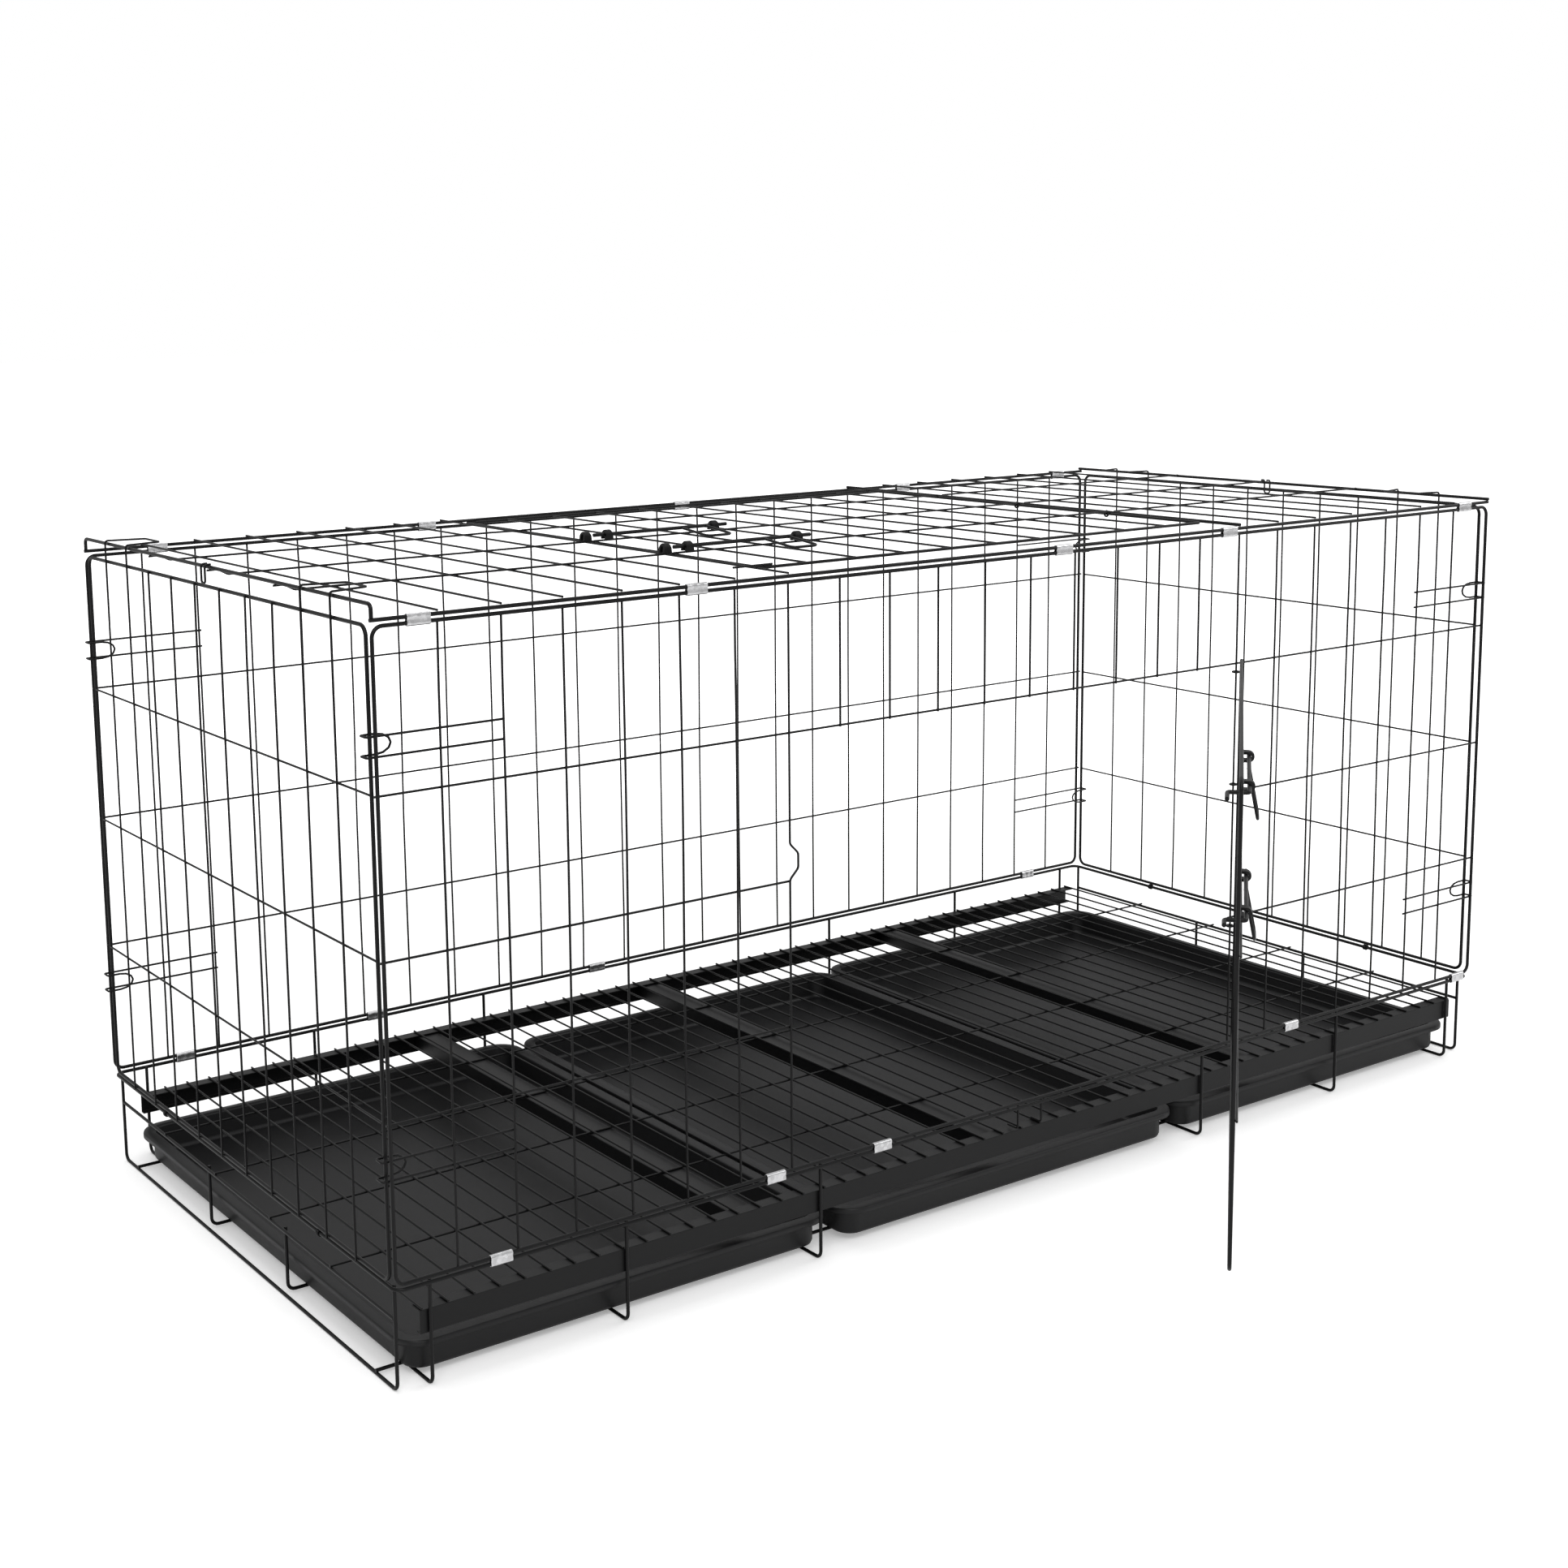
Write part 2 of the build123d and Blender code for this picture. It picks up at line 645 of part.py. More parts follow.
# Front door, drawn closed and then swung open about the hinge upright
door_axis_y = -upright_layer
door_plane_y = -half_depth - frame_wire - running_gap - mesh_wire / 4
door_left = door_latch_x - door_overlap
door_right = door_hinge_x - door_hinge_offset
door_foot = panel_bottom + frame_wire / 2 + door_overlap
door_top = door_level + door_overlap
door_corners = [
    (door_left, door_plane_y, door_foot),
    (door_right, door_plane_y, door_foot),
    (door_right, door_plane_y, door_top),
    (door_left, door_plane_y, door_top),
]
door_face = door_plane_y - frame_wire / 2
door_upright_y = door_face + mesh_wire / 2
door_cross_y = door_face - mesh_wire / 2
door_axis = Axis((door_hinge_x, door_axis_y, 0), (0, 0, 1))


def swing(solids):
    return [solid.rotate(door_axis, door_rest_angle) for solid in solids]


def door_upright(index):
    low = door_foot + frame_wire / 2
    high = door_top - frame_wire / 2
    return straight((column(index), door_upright_y, low), (column(index), door_upright_y, high), mesh_wire, y_axis)


def door_cross(z):
    start = (door_left - wire_stub, door_cross_y, z)
    return straight(start, (door_right, door_cross_y, z), mesh_wire, y_axis)


save("door_frame", swing([frame_loop(door_corners, frame_bend, frame_wire, y_axis)]))
save("door_uprights", swing([door_upright(index) for index in over_door]))
save("door_cross_wires", swing([door_cross(z) for z in (first_level, middle_level)]))

# Hinge loops: a curl round the upright with a tail along the door frame
curl_flat = Vector(-1, -1, 0).normalized()
hinge_reach = Vector(-door_hinge_offset, door_plane_y - door_axis_y, 0).dot(curl_flat)
door_curl_outer = 2 * (hinge_reach - frame_wire / 2)
door_curl_bore = mesh_wire / math.cos(math.pi / 6) + 2 * running_gap
door_curls = [
    ring((door_hinge_x, door_axis_y, z), z_axis, curl_flat, door_curl_bore, door_curl_outer, mesh_wire)
    for z in (first_level - 4 * mesh_wire, middle_level + 4 * mesh_wire, door_level - 4 * mesh_wire)
]
save("door_hinge_loops", swing(door_curls))

# Door bolts: the tip steps in behind the latch upright
door_rod_y = door_face - rod_lift
tip_y = -inner_face + mesh_wire + running_gap + bolt_rod / 2
bolt_step_x = column(door_first) + door_bolt_step
door_latches = {"lower": (bump_height, 14.0), "upper": (upper_bolt_height, 22.0)}
door_first_guide = column(door_first + 1)
for side, (z, tip_reach) in door_latches.items():
    rod_points = [
        (bolt_step_x - tip_reach, tip_y, z),
        (bolt_step_x, tip_y, z),
        (bolt_step_x, door_rod_y, z),
        (door_first_guide + 2 * pitch + tip_margin, door_rod_y, z),
    ]
    rod = bent(rod_points, 0, bolt_rod, z_axis, sides=8)
    place = Pos(door_first_guide - tip_margin, door_rod_y, z) * Rot(90, 0, 0)
    loop_place = Pos(2 * pitch - guide_spacing, 0, 0)
    save(f"door_{side}_bolt", swing([rod, place * loop_place * finger_loop(-2 * finger_drop)]))
save("door_bolt_guides", swing([
    Pos(door_first_guide + step * 2 * pitch, door_rod_y, z) * guide(0)
    for z, _ in door_latches.values() for step in (0, 1)
]))
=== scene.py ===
import json
import math

import bmesh
import bpy
from mathutils import Matrix, Vector


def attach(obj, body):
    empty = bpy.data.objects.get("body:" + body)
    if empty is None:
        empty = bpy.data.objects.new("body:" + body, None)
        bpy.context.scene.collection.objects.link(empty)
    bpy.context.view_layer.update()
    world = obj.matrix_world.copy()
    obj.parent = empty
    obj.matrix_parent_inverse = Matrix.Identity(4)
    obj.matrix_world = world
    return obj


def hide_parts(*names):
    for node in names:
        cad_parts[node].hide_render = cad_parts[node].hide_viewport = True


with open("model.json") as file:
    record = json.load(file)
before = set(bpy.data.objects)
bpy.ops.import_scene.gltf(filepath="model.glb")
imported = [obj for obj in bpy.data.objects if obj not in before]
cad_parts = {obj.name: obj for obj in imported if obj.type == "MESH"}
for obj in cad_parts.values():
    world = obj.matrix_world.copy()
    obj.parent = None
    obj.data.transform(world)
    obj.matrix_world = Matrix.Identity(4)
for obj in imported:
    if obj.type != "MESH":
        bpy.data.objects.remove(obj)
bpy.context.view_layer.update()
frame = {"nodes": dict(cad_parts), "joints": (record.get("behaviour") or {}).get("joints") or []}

bl_info = {
    "name": "Folding wire dog crate",
    "version": (1, 0, 0),
    "blender": (4, 5, 0),
    "location": "3D View > Sidebar > Crate",
    "description": "Dresses a folding wire dog crate: bent and welded wire, sheet clips, trays and floor",
    "category": "Object",
}

MM = 0.001
FRAME = "crate_frame"
door_joint = next(joint for joint in frame["joints"] if joint["name"] == "front_door_swing")
door_hinge = Vector(door_joint["pos_m"])
door_rest = math.radians(-door_joint["range_deg"][0])
door_turn = (
    Matrix.Translation(door_hinge)
    @ Matrix.Rotation(door_rest, 4, Vector(door_joint["axis"]))
    @ Matrix.Translation(-door_hinge)
)


# What the frame says about its pieces


def solid_boxes(node, turned=False):
    """Lowest and highest corner of every solid in a node, on the shut door where turned is set."""
    mesh = bmesh.new()
    mesh.from_mesh(frame["nodes"][node].data)
    bmesh.ops.remove_doubles(mesh, verts=mesh.verts, dist=0.001 * MM)
    if turned:
        mesh.transform(door_turn.inverted())
    boxes = []
    seen = set()
    for start in mesh.verts:
        if start in seen:
            continue
        seen.add(start)
        stack = [start]
        low, high = start.co.copy(), start.co.copy()
        while stack:
            vert = stack.pop()
            low = Vector(map(min, low, vert.co))
            high = Vector(map(max, high, vert.co))
            for edge in vert.link_edges:
                other = edge.other_vert(vert)
                if other not in seen:
                    seen.add(other)
                    stack.append(other)
        boxes.append((low, high))
    mesh.free()
    boxes.sort(key=lambda box: tuple(round(value, 5) for value in box[0]))
    return boxes


def long_axis(size):
    return max(range(3), key=lambda axis: size[axis])


def run_of(box):
    """Centre line of a straight wire."""
    low, high = box
    axis = long_axis(high - low)
    start = (low + high) / 2
    end = start.copy()
    start[axis], end[axis] = low[axis], high[axis]
    return [start, end]


def loop_of(box, wire):
    """Corners of a frame bent from one wire."""
    low, high = box
    size = high - low
    thin = min(range(3), key=lambda axis: size[axis])
    first, second = [axis for axis in range(3) if axis != thin]
    corners = []
    for a, b in ((0, 0), (1, 0), (1, 1), (0, 1)):
        corner = (low + high) / 2
        corner[first] = (high if a else low)[first] + (-wire if a else wire) / 2
        corner[second] = (high if b else low)[second] + (-wire if b else wire) / 2
        corners.append(corner)
    return corners


def joined_boxes(node, axis):
    """Boxes of a node's bent wires, each of them several solids at one place on the axis."""
    joined = {}
    for low, high in solid_boxes(node):
        place = round((low[axis] + high[axis]) / 2 / MM)
        old_low, old_high = joined.get(place, (low, high))
        joined[place] = (Vector(map(min, old_low, low)), Vector(map(max, old_high, high)))
    return list(joined.values())


def u_of(box, wire, across, open_end):
    """Centre line of a wire bent into a U: across is the axis between its arms, open_end is 1 for up."""
    low, high = box
    x = (low + high) / 2
    closed = (low if open_end > 0 else high)[2] + (wire if open_end > 0 else -wire) / 2
    top = (high if open_end > 0 else low)[2]
    points = []
    for side, z in ((0, top), (0, closed), (1, closed), (1, top)):
        point = x.copy()
        point[across] = (high if side else low)[across] + (-wire if side else wire) / 2
        point[2] = z
        points.append(point)
    return points


def wire_of(node, turned=False):
    """Diameter of a node's straight wire, across its flats."""
    low, high = solid_boxes(node, turned)[0]
    return sorted(high - low)[0]


FRAME_WIRE = wire_of("top_side_rails")
LEG_WIRE = wire_of("base_side_runners")
MESH_WIRE = wire_of("floor_grid_wires")
HATCH_WIRE = wire_of("hatch_frame")
ROD_WIRE = wire_of("hatch_front_bolt")
PULL_WIRE = ROD_WIRE * 0.75
HALF_CORNERS = MESH_WIRE * 0.5774  # half of a six-sided wire across its corners

# Centre-line bends of the smaller wires
PRONG_BEND = 1.6 * MM
HOOK_BEND = 2.4 * MM
ROD_BEND = 2.6 * MM
TURNED_BEND = 4 * MM
LOOP_BEND = 5 * MM
RISE_BEND = 6 * MM

BOW_LENGTH = 0.22  # how far it is, in metres, from one stray of a mesh wire to the next
BUMP_HEIGHT = 333 * MM  # middle of the latch upright's bump, above the ground
BOLT_STEP = -222 * MM  # where the rods of the door's bolts step across, on the shut door


# Properties that a user would change


class CrateWireSizes(bpy.types.PropertyGroup):
    """Sizes of the bent and welded wire."""

    frame_bend: bpy.props.FloatProperty(
        name="Frame bend", description="Centre-line radius of the panel corners",
        default=8 * MM, min=3 * MM, max=20 * MM, unit="LENGTH")
    leg_bend: bpy.props.FloatProperty(
        name="Leg bend", description="Centre-line radius of the bent legs and runners",
        default=6 * MM, min=3 * MM, max=15 * MM, unit="LENGTH")
    bow: bpy.props.FloatProperty(
        name="Bow", description="How far a long mesh wire strays from a straight line",
        default=0.9 * MM, min=0, max=3 * MM, unit="LENGTH")


class CrateSheetSizes(bpy.types.PropertyGroup):
    """Sizes of the clips, the trays and the folded sheet."""

    clip_sheet: bpy.props.FloatProperty(
        name="Clip sheet", description="Thickness of the clips' sheet",
        default=0.8 * MM, min=0.3 * MM, max=1 * MM, unit="LENGTH")
    tray_wall: bpy.props.FloatProperty(
        name="Tray wall", description="Thickness of the trays",
        default=2 * MM, min=1 * MM, max=3 * MM, unit="LENGTH")
    tray_rim: bpy.props.FloatProperty(
        name="Tray rim", description="Width of the rim round a tray",
        default=9 * MM, min=4 * MM, max=15 * MM, unit="LENGTH")
    tray_corner: bpy.props.FloatProperty(
        name="Tray corner", description="Outer corner radius of a tray seen from above",
        default=24 * MM, min=12 * MM, max=50 * MM, unit="LENGTH")


class CrateFinish(bpy.types.PropertyGroup):
    """Colours and gloss of the finishes."""

    coat_colour: bpy.props.FloatVectorProperty(
        name="Coating", description="Colour of the baked coating on the wire",
        subtype="COLOR", size=3, default=(0.0035, 0.0035, 0.0038), min=0, max=1)
    coat_roughness: bpy.props.FloatProperty(
        name="Coating roughness", description="Roughness of the coating",
        subtype="FACTOR", default=0.36, min=0, max=1)
    tray_colour: bpy.props.FloatVectorProperty(
        name="Tray plastic", description="Colour of the trays",
        subtype="COLOR", size=3, default=(0.0055, 0.0055, 0.006), min=0, max=1)
    tray_roughness: bpy.props.FloatProperty(
        name="Tray roughness", description="Roughness of the trays",
        subtype="FACTOR", default=0.42, min=0, max=1)
    zinc_colour: bpy.props.FloatVectorProperty(
        name="Zinc", description="Colour of the clips' zinc plating",
        subtype="COLOR", size=3, default=(0.72, 0.72, 0.73), min=0, max=1)


class CrateStage(bpy.types.PropertyGroup):
    """Floor and light."""

    floor_colour: bpy.props.FloatVectorProperty(
        name="Floor", description="Colour of the plain floor",
        subtype="COLOR", size=3, default=(0.93, 0.93, 0.93), min=0, max=1)
    floor_lift: bpy.props.FloatProperty(
        name="Floor lift", description="Light added to the floor as the camera sees it",
        default=0.30, min=0, max=1)
    key_strength: bpy.props.FloatProperty(
        name="Key light", description="Strength of the large soft lamp",
        default=60, min=0, max=500)
    sky_strength: bpy.props.FloatProperty(
        name="Room light", description="Strength of the even light from all round",
        default=0.55, min=0, max=2)


# Shader groups and materials


def add_socket(tree, name, kind, into, value=None):
    socket = tree.interface.new_socket(name=name, in_out="INPUT" if into else "OUTPUT", socket_type=kind)
    if value is not None:
        socket.default_value = value
    return socket


def link(tree, source, target):
    tree.links.new(source, target)


def new_node(tree, kind, **values):
    node = tree.nodes.new(kind)
    for key, value in values.items():
        setattr(node, key, value)
    return node


def set_values(node, **values):
    """Sets a node's unlinked inputs; an underscore stands for a space in an input's name."""
    for name, value in values.items():
        node.inputs[name.replace("_", " ")].default_value = value


def math_node(tree, operation, first, second=None):
    node = new_node(tree, "ShaderNodeMath", operation=operation)
    for index, value in enumerate((first, second)):
        if value is None:
            continue
        if isinstance(value, bpy.types.NodeSocket):
            link(tree, value, node.inputs[index])
        else:
            node.inputs[index].default_value = value
    return node.outputs[0]


def surface_wear_group():
    """Height, roughness and dust of a coated or moulded surface, from two sizes of noise."""
    name = "surface_wear"
    if name in bpy.data.node_groups:
        return bpy.data.node_groups[name]
    tree = bpy.data.node_groups.new(name, "ShaderNodeTree")
    add_socket(tree, "Grain size", "NodeSocketFloat", True, 900.0)
    add_socket(tree, "Patch size", "NodeSocketFloat", True, 14.0)
    add_socket(tree, "Roughness", "NodeSocketFloat", True, 0.4)
    add_socket(tree, "Spread", "NodeSocketFloat", True, 0.1)
    add_socket(tree, "Colour", "NodeSocketColor", True, (0.01, 0.01, 0.01, 1))
    add_socket(tree, "Dust colour", "NodeSocketColor", True, (0.06, 0.06, 0.06, 1))
    add_socket(tree, "Dust", "NodeSocketFloat", True, 0.15)
    add_socket(tree, "Colour", "NodeSocketColor", False)
    add_socket(tree, "Roughness", "NodeSocketFloat", False)
    add_socket(tree, "Height", "NodeSocketFloat", False)
    source = new_node(tree, "NodeGroupInput")
    result = new_node(tree, "NodeGroupOutput")
    place = new_node(tree, "ShaderNodeTexCoord")
    grain = new_node(tree, "ShaderNodeTexNoise")
    set_values(grain, Detail=2.0)
    patch = new_node(tree, "ShaderNodeTexNoise")
    set_values(patch, Detail=6.0, Roughness=0.62)
    for texture, size in ((grain, "Grain size"), (patch, "Patch size")):
        link(tree, place.outputs["Object"], texture.inputs["Vector"])
        link(tree, source.outputs[size], texture.inputs["Scale"])
    centred = math_node(tree, "SUBTRACT", patch.outputs["Fac"], 0.5)
    spread = math_node(tree, "MULTIPLY", centred, source.outputs["Spread"])
    doubled = math_node(tree, "MULTIPLY", spread, 2.0)
    rough = math_node(tree, "ADD", source.outputs["Roughness"], doubled)
    facing = new_node(tree, "ShaderNodeNewGeometry")
    split = new_node(tree, "ShaderNodeSeparateXYZ")
    link(tree, facing.outputs["Normal"], split.inputs[0])
    upward = math_node(tree, "MAXIMUM", split.outputs["Z"], 0.0)
    patchy = new_node(tree, "ShaderNodeMapRange")
    set_values(patchy, From_Min=0.42, From_Max=0.72)
    link(tree, patch.outputs["Fac"], patchy.inputs["Value"])
    lying = math_node(tree, "MULTIPLY", upward, patchy.outputs[0])
    dust = math_node(tree, "MULTIPLY", lying, source.outputs["Dust"])
    mix = new_node(tree, "ShaderNodeMix", data_type="RGBA")
    link(tree, dust, mix.inputs["Factor"])
    link(tree, source.outputs["Colour"], mix.inputs["A"])
    link(tree, source.outputs["Dust colour"], mix.inputs["B"])
    link(tree, mix.outputs["Result"], result.inputs["Colour"])
    link(tree, rough, result.inputs["Roughness"])
    link(tree, grain.outputs["Fac"], result.inputs["Height"])
    return tree


def start_material(name):
    material = bpy.data.materials.new(name)
    material.use_nodes = True
    tree = material.node_tree
    return material, tree, tree.nodes["Principled BSDF"]


def worn_material(name, colour, roughness, specular, bump, height, **wear_values):
    """Material whose colour, roughness and bump come from the wear group."""
    if name in bpy.data.materials:
        return bpy.data.materials[name]
    material, tree, shader = start_material(name)
    wear = new_node(tree, "ShaderNodeGroup")
    wear.node_tree = surface_wear_group()
    set_values(wear, Roughness=roughness, Colour=(*colour, 1), **wear_values)
    link(tree, wear.outputs["Colour"], shader.inputs["Base Color"])
    link(tree, wear.outputs["Roughness"], shader.inputs["Roughness"])
    relief = new_node(tree, "ShaderNodeBump")
    set_values(relief, Strength=bump, Distance=height)
    link(tree, wear.outputs["Height"], relief.inputs["Height"])
    link(tree, relief.outputs["Normal"], shader.inputs["Normal"])
    shader.inputs["Specular IOR Level"].default_value = specular
    return material


def coating(finish):
    """Baked black coating with a fine orange peel."""
    return worn_material(
        "baked_black_coating", finish.coat_colour, finish.coat_roughness, specular=0.22, bump=0.25,
        height=0.05 * MM, Grain_size=1400.0, Patch_size=22.0, Spread=0.10, Dust=0.03)


def tray_plastic(finish):
    """Moulded black plastic with a fine grain, scuffs and a little dust."""
    return worn_material(
        "moulded_black_plastic", finish.tray_colour, finish.tray_roughness, specular=0.32, bump=0.18,
        height=0.04 * MM, Grain_size=2600.0, Patch_size=7.0, Spread=0.14, Dust=0.12)


def folded_sheet(finish):
    """Coated sheet steel of the floor's channels and beams."""
    return worn_material(
        "coated_sheet_steel", finish.coat_colour, finish.coat_roughness + 0.06, specular=0.25, bump=0.22,
        height=0.05 * MM, Grain_size=1100.0, Patch_size=10.0, Spread=0.10, Dust=0.05)


def zinc(finish):
    """Bright zinc plating with spangles and rolling marks."""
    name = "bright_zinc"
    if name in bpy.data.materials:
        return bpy.data.materials[name]
    material, tree, shader = start_material(name)
    place = new_node(tree, "ShaderNodeTexCoord")
    spangle = new_node(tree, "ShaderNodeTexVoronoi")
    set_values(spangle, Scale=320.0)
    link(tree, place.outputs["Object"], spangle.inputs["Vector"])
    stretch = new_node(tree, "ShaderNodeMapping")
    set_values(stretch, Scale=(90.0, 1800.0, 1800.0))
    link(tree, place.outputs["Object"], stretch.inputs["Vector"])
    rolled = new_node(tree, "ShaderNodeTexNoise")
    set_values(rolled, Scale=1.0, Detail=3.0)
    link(tree, stretch.outputs["Vector"], rolled.inputs["Vector"])
    tone = new_node(tree, "ShaderNodeMapRange")
    set_values(tone, To_Min=0.75, To_Max=1.1)
    link(tree, spangle.outputs["Color"], tone.inputs["Value"])
    shade = new_node(tree, "ShaderNodeMix", data_type="RGBA", blend_type="MULTIPLY")
    shade.inputs["Factor"].default_value = 1.0
    shade.inputs["A"].default_value = (*finish.zinc_colour, 1)
    link(tree, tone.outputs[0], shade.inputs["B"])
    link(tree, shade.outputs["Result"], shader.inputs["Base Color"])
    rough = new_node(tree, "ShaderNodeMapRange")
    set_values(rough, To_Min=0.18, To_Max=0.42)
    link(tree, rolled.outputs["Fac"], rough.inputs["Value"])
    link(tree, rough.outputs[0], shader.inputs["Roughness"])
    relief = new_node(tree, "ShaderNodeBump")
    set_values(relief, Strength=0.3, Distance=0.05 * MM)
    link(tree, rolled.outputs["Fac"], relief.inputs["Height"])
    link(tree, relief.outputs["Normal"], shader.inputs["Normal"])
    shader.inputs["Metallic"].default_value = 1.0
    return material


# Geometry Nodes


def bent_wire_tree():
    """Turns the edges of a mesh into round wire with filleted bends."""
    name = "bent_wire"
    if name in bpy.data.node_groups:
        return bpy.data.node_groups[name]
    tree = bpy.data.node_groups.new(name, "GeometryNodeTree")
    add_socket(tree, "Centre lines", "NodeSocketGeometry", True)
    add_socket(tree, "Wire", "NodeSocketFloat", True, 2.4 * MM)
    add_socket(tree, "Bend", "NodeSocketFloat", True, 3 * MM)
    add_socket(tree, "Bend steps", "NodeSocketInt", True, 5)
    add_socket(tree, "Sides", "NodeSocketInt", True, 10)
    add_socket(tree, "Bow", "NodeSocketFloat", True, 0.0)
    add_socket(tree, "Bow length", "NodeSocketFloat", True, 0.05)
    add_socket(tree, "Seed", "NodeSocketInt", True, 1)
    add_socket(tree, "Finish", "NodeSocketMaterial", True)
    add_socket(tree, "Wire", "NodeSocketGeometry", False)
    source = new_node(tree, "NodeGroupInput")
    result = new_node(tree, "NodeGroupOutput")
    curve = new_node(tree, "GeometryNodeMeshToCurve")
    link(tree, source.outputs["Centre lines"], curve.inputs["Mesh"])
    fillet = new_node(tree, "GeometryNodeFilletCurve")
    fillet.mode = "POLY"
    fillet.inputs["Limit Radius"].default_value = True
    link(tree, curve.outputs["Curve"], fillet.inputs["Curve"])
    link(tree, source.outputs["Bend"], fillet.inputs["Radius"])
    link(tree, source.outputs["Bend steps"], fillet.inputs["Count"])
    cuts = new_node(tree, "GeometryNodeSubdivideCurve")
    bowed = new_node(tree, "FunctionNodeCompare", data_type="FLOAT", operation="GREATER_THAN")
    link(tree, source.outputs["Bow"], bowed.inputs["A"])
    link(tree, fillet.outputs["Curve"], cuts.inputs["Curve"])
    bow_cuts = math_node(tree, "MULTIPLY", bowed.outputs["Result"], 9.0)
    link(tree, bow_cuts, cuts.inputs["Cuts"])
    place = new_node(tree, "GeometryNodeInputPosition")
    noise = new_node(tree, "ShaderNodeTexNoise", noise_dimensions="4D")
    noise.inputs["Detail"].default_value = 0.0
    scale = math_node(tree, "DIVIDE", 1.0, source.outputs["Bow length"])
    link(tree, place.outputs["Position"], noise.inputs["Vector"])
    link(tree, scale, noise.inputs["Scale"])
    link(tree, source.outputs["Seed"], noise.inputs["W"])
    centred = new_node(tree, "ShaderNodeVectorMath", operation="SUBTRACT")
    link(tree, noise.outputs["Color"], centred.inputs[0])
    centred.inputs[1].default_value = (0.5, 0.5, 0.5)
    sized = new_node(tree, "ShaderNodeVectorMath", operation="SCALE")
    link(tree, centred.outputs["Vector"], sized.inputs[0])
    stray = math_node(tree, "MULTIPLY", source.outputs["Bow"], 2.5)  # noise seldom leaves 0.3 to 0.7
    link(tree, stray, sized.inputs["Scale"])
    ends = new_node(tree, "GeometryNodeCurveEndpointSelection")
    inner = new_node(tree, "FunctionNodeBooleanMath", operation="NOT")
    link(tree, ends.outputs["Selection"], inner.inputs[0])
    move = new_node(tree, "GeometryNodeSetPosition")
    link(tree, cuts.outputs["Curve"], move.inputs["Geometry"])
    link(tree, inner.outputs[0], move.inputs["Selection"])
    link(tree, sized.outputs["Vector"], move.inputs["Offset"])
    section = new_node(tree, "GeometryNodeCurvePrimitiveCircle")
    link(tree, source.outputs["Sides"], section.inputs["Resolution"])
    radius = math_node(tree, "MULTIPLY", source.outputs["Wire"], 0.5)
    link(tree, radius, section.inputs["Radius"])
    solid = new_node(tree, "GeometryNodeCurveToMesh")
    solid.inputs["Fill Caps"].default_value = True
    link(tree, move.outputs["Geometry"], solid.inputs["Curve"])
    link(tree, section.outputs["Curve"], solid.inputs["Profile Curve"])
    smooth = new_node(tree, "GeometryNodeSetShadeSmooth")
    link(tree, solid.outputs["Mesh"], smooth.inputs["Geometry"])
    real = new_node(tree, "GeometryNodeRealizeInstances")
    link(tree, smooth.outputs["Geometry"], real.inputs["Geometry"])
    finish = new_node(tree, "GeometryNodeSetMaterial")
    link(tree, real.outputs["Geometry"], finish.inputs["Geometry"])
    link(tree, source.outputs["Finish"], finish.inputs["Material"])
    link(tree, finish.outputs["Geometry"], result.inputs["Wire"])
    return tree


def add_object(name, data):
    piece = bpy.data.objects.new(name, data)
    bpy.context.collection.objects.link(piece)
    return piece


def keep_result(piece, modifier):
    """Puts what a modifier makes into the object's own mesh and removes the modifier."""
    bpy.context.view_layer.update()
    graph = bpy.context.evaluated_depsgraph_get()
    baked = bpy.data.meshes.new_from_object(piece.evaluated_get(graph), depsgraph=graph)
    piece.modifiers.remove(modifier)
    piece.data = baked
    baked.name = piece.name


def set_inputs(modifier, values):
    for item in modifier.node_group.interface.items_tree:
        if item.item_type == "SOCKET" and item.in_out == "INPUT" and item.name in values:
            modifier[item.identifier] = values[item.name]


def bake(name, mesh, tree, values):
    """Runs a tree on a mesh and keeps the result as a plain object."""
    piece = add_object(name, mesh)
    modifier = piece.modifiers.new("make", "NODES")
    modifier.node_group = tree
    set_inputs(modifier, values)
    keep_result(piece, modifier)
    return piece


def line_mesh(name, paths, closed):
    points, edges = [], []
    for path in paths:
        start = len(points)
        points.extend(path)
        edges.extend((start + i, start + i + 1) for i in range(len(path) - 1))
        if closed:
            edges.append((start + len(path) - 1, start))
    mesh = bpy.data.meshes.new(name)
    mesh.from_pydata([tuple(point) for point in points], edges, [])
    return mesh


def settle(piece, body, nodes, turned=False):
    """Gives a finished piece its place on the door, hangs it on its body and hides the nodes that it
    stands for.
    """
    if turned:
        piece.data.transform(door_turn)
    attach(piece, body)
    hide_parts(*nodes)
    return piece


def wire_piece(name, paths, wire, body, nodes, *,
               bend=0.0, bow=0.0, closed=False, steps=5, sides=10, turned=False):
    """Round wire along the given centre lines."""
    finish = coating(bpy.context.scene.crate_finish)
    mesh = line_mesh(name, paths, closed)
    values = {
        "Wire": wire, "Bend": bend, "Bend steps": steps, "Sides": sides, "Bow": bow,
        "Bow length": BOW_LENGTH, "Seed": len(name), "Finish": finish,
    }
    piece = bake(name, mesh, bent_wire_tree(), values)
    return settle(piece, body, nodes, turned)


def straight_piece(name, node, body, turned=False, **options):
    paths = [run_of(box) for box in solid_boxes(node, turned)]
    return wire_piece(name, paths, wire_of(node, turned), body, [node], turned=turned, **options)


def loop_piece(name, node, body, wire, bend, turned=False):
    paths = [loop_of(box, wire) for box in solid_boxes(node, turned)]
    return wire_piece(name, paths, wire, body, [node], bend=bend, closed=True,
                      steps=8, sides=14, turned=turned)


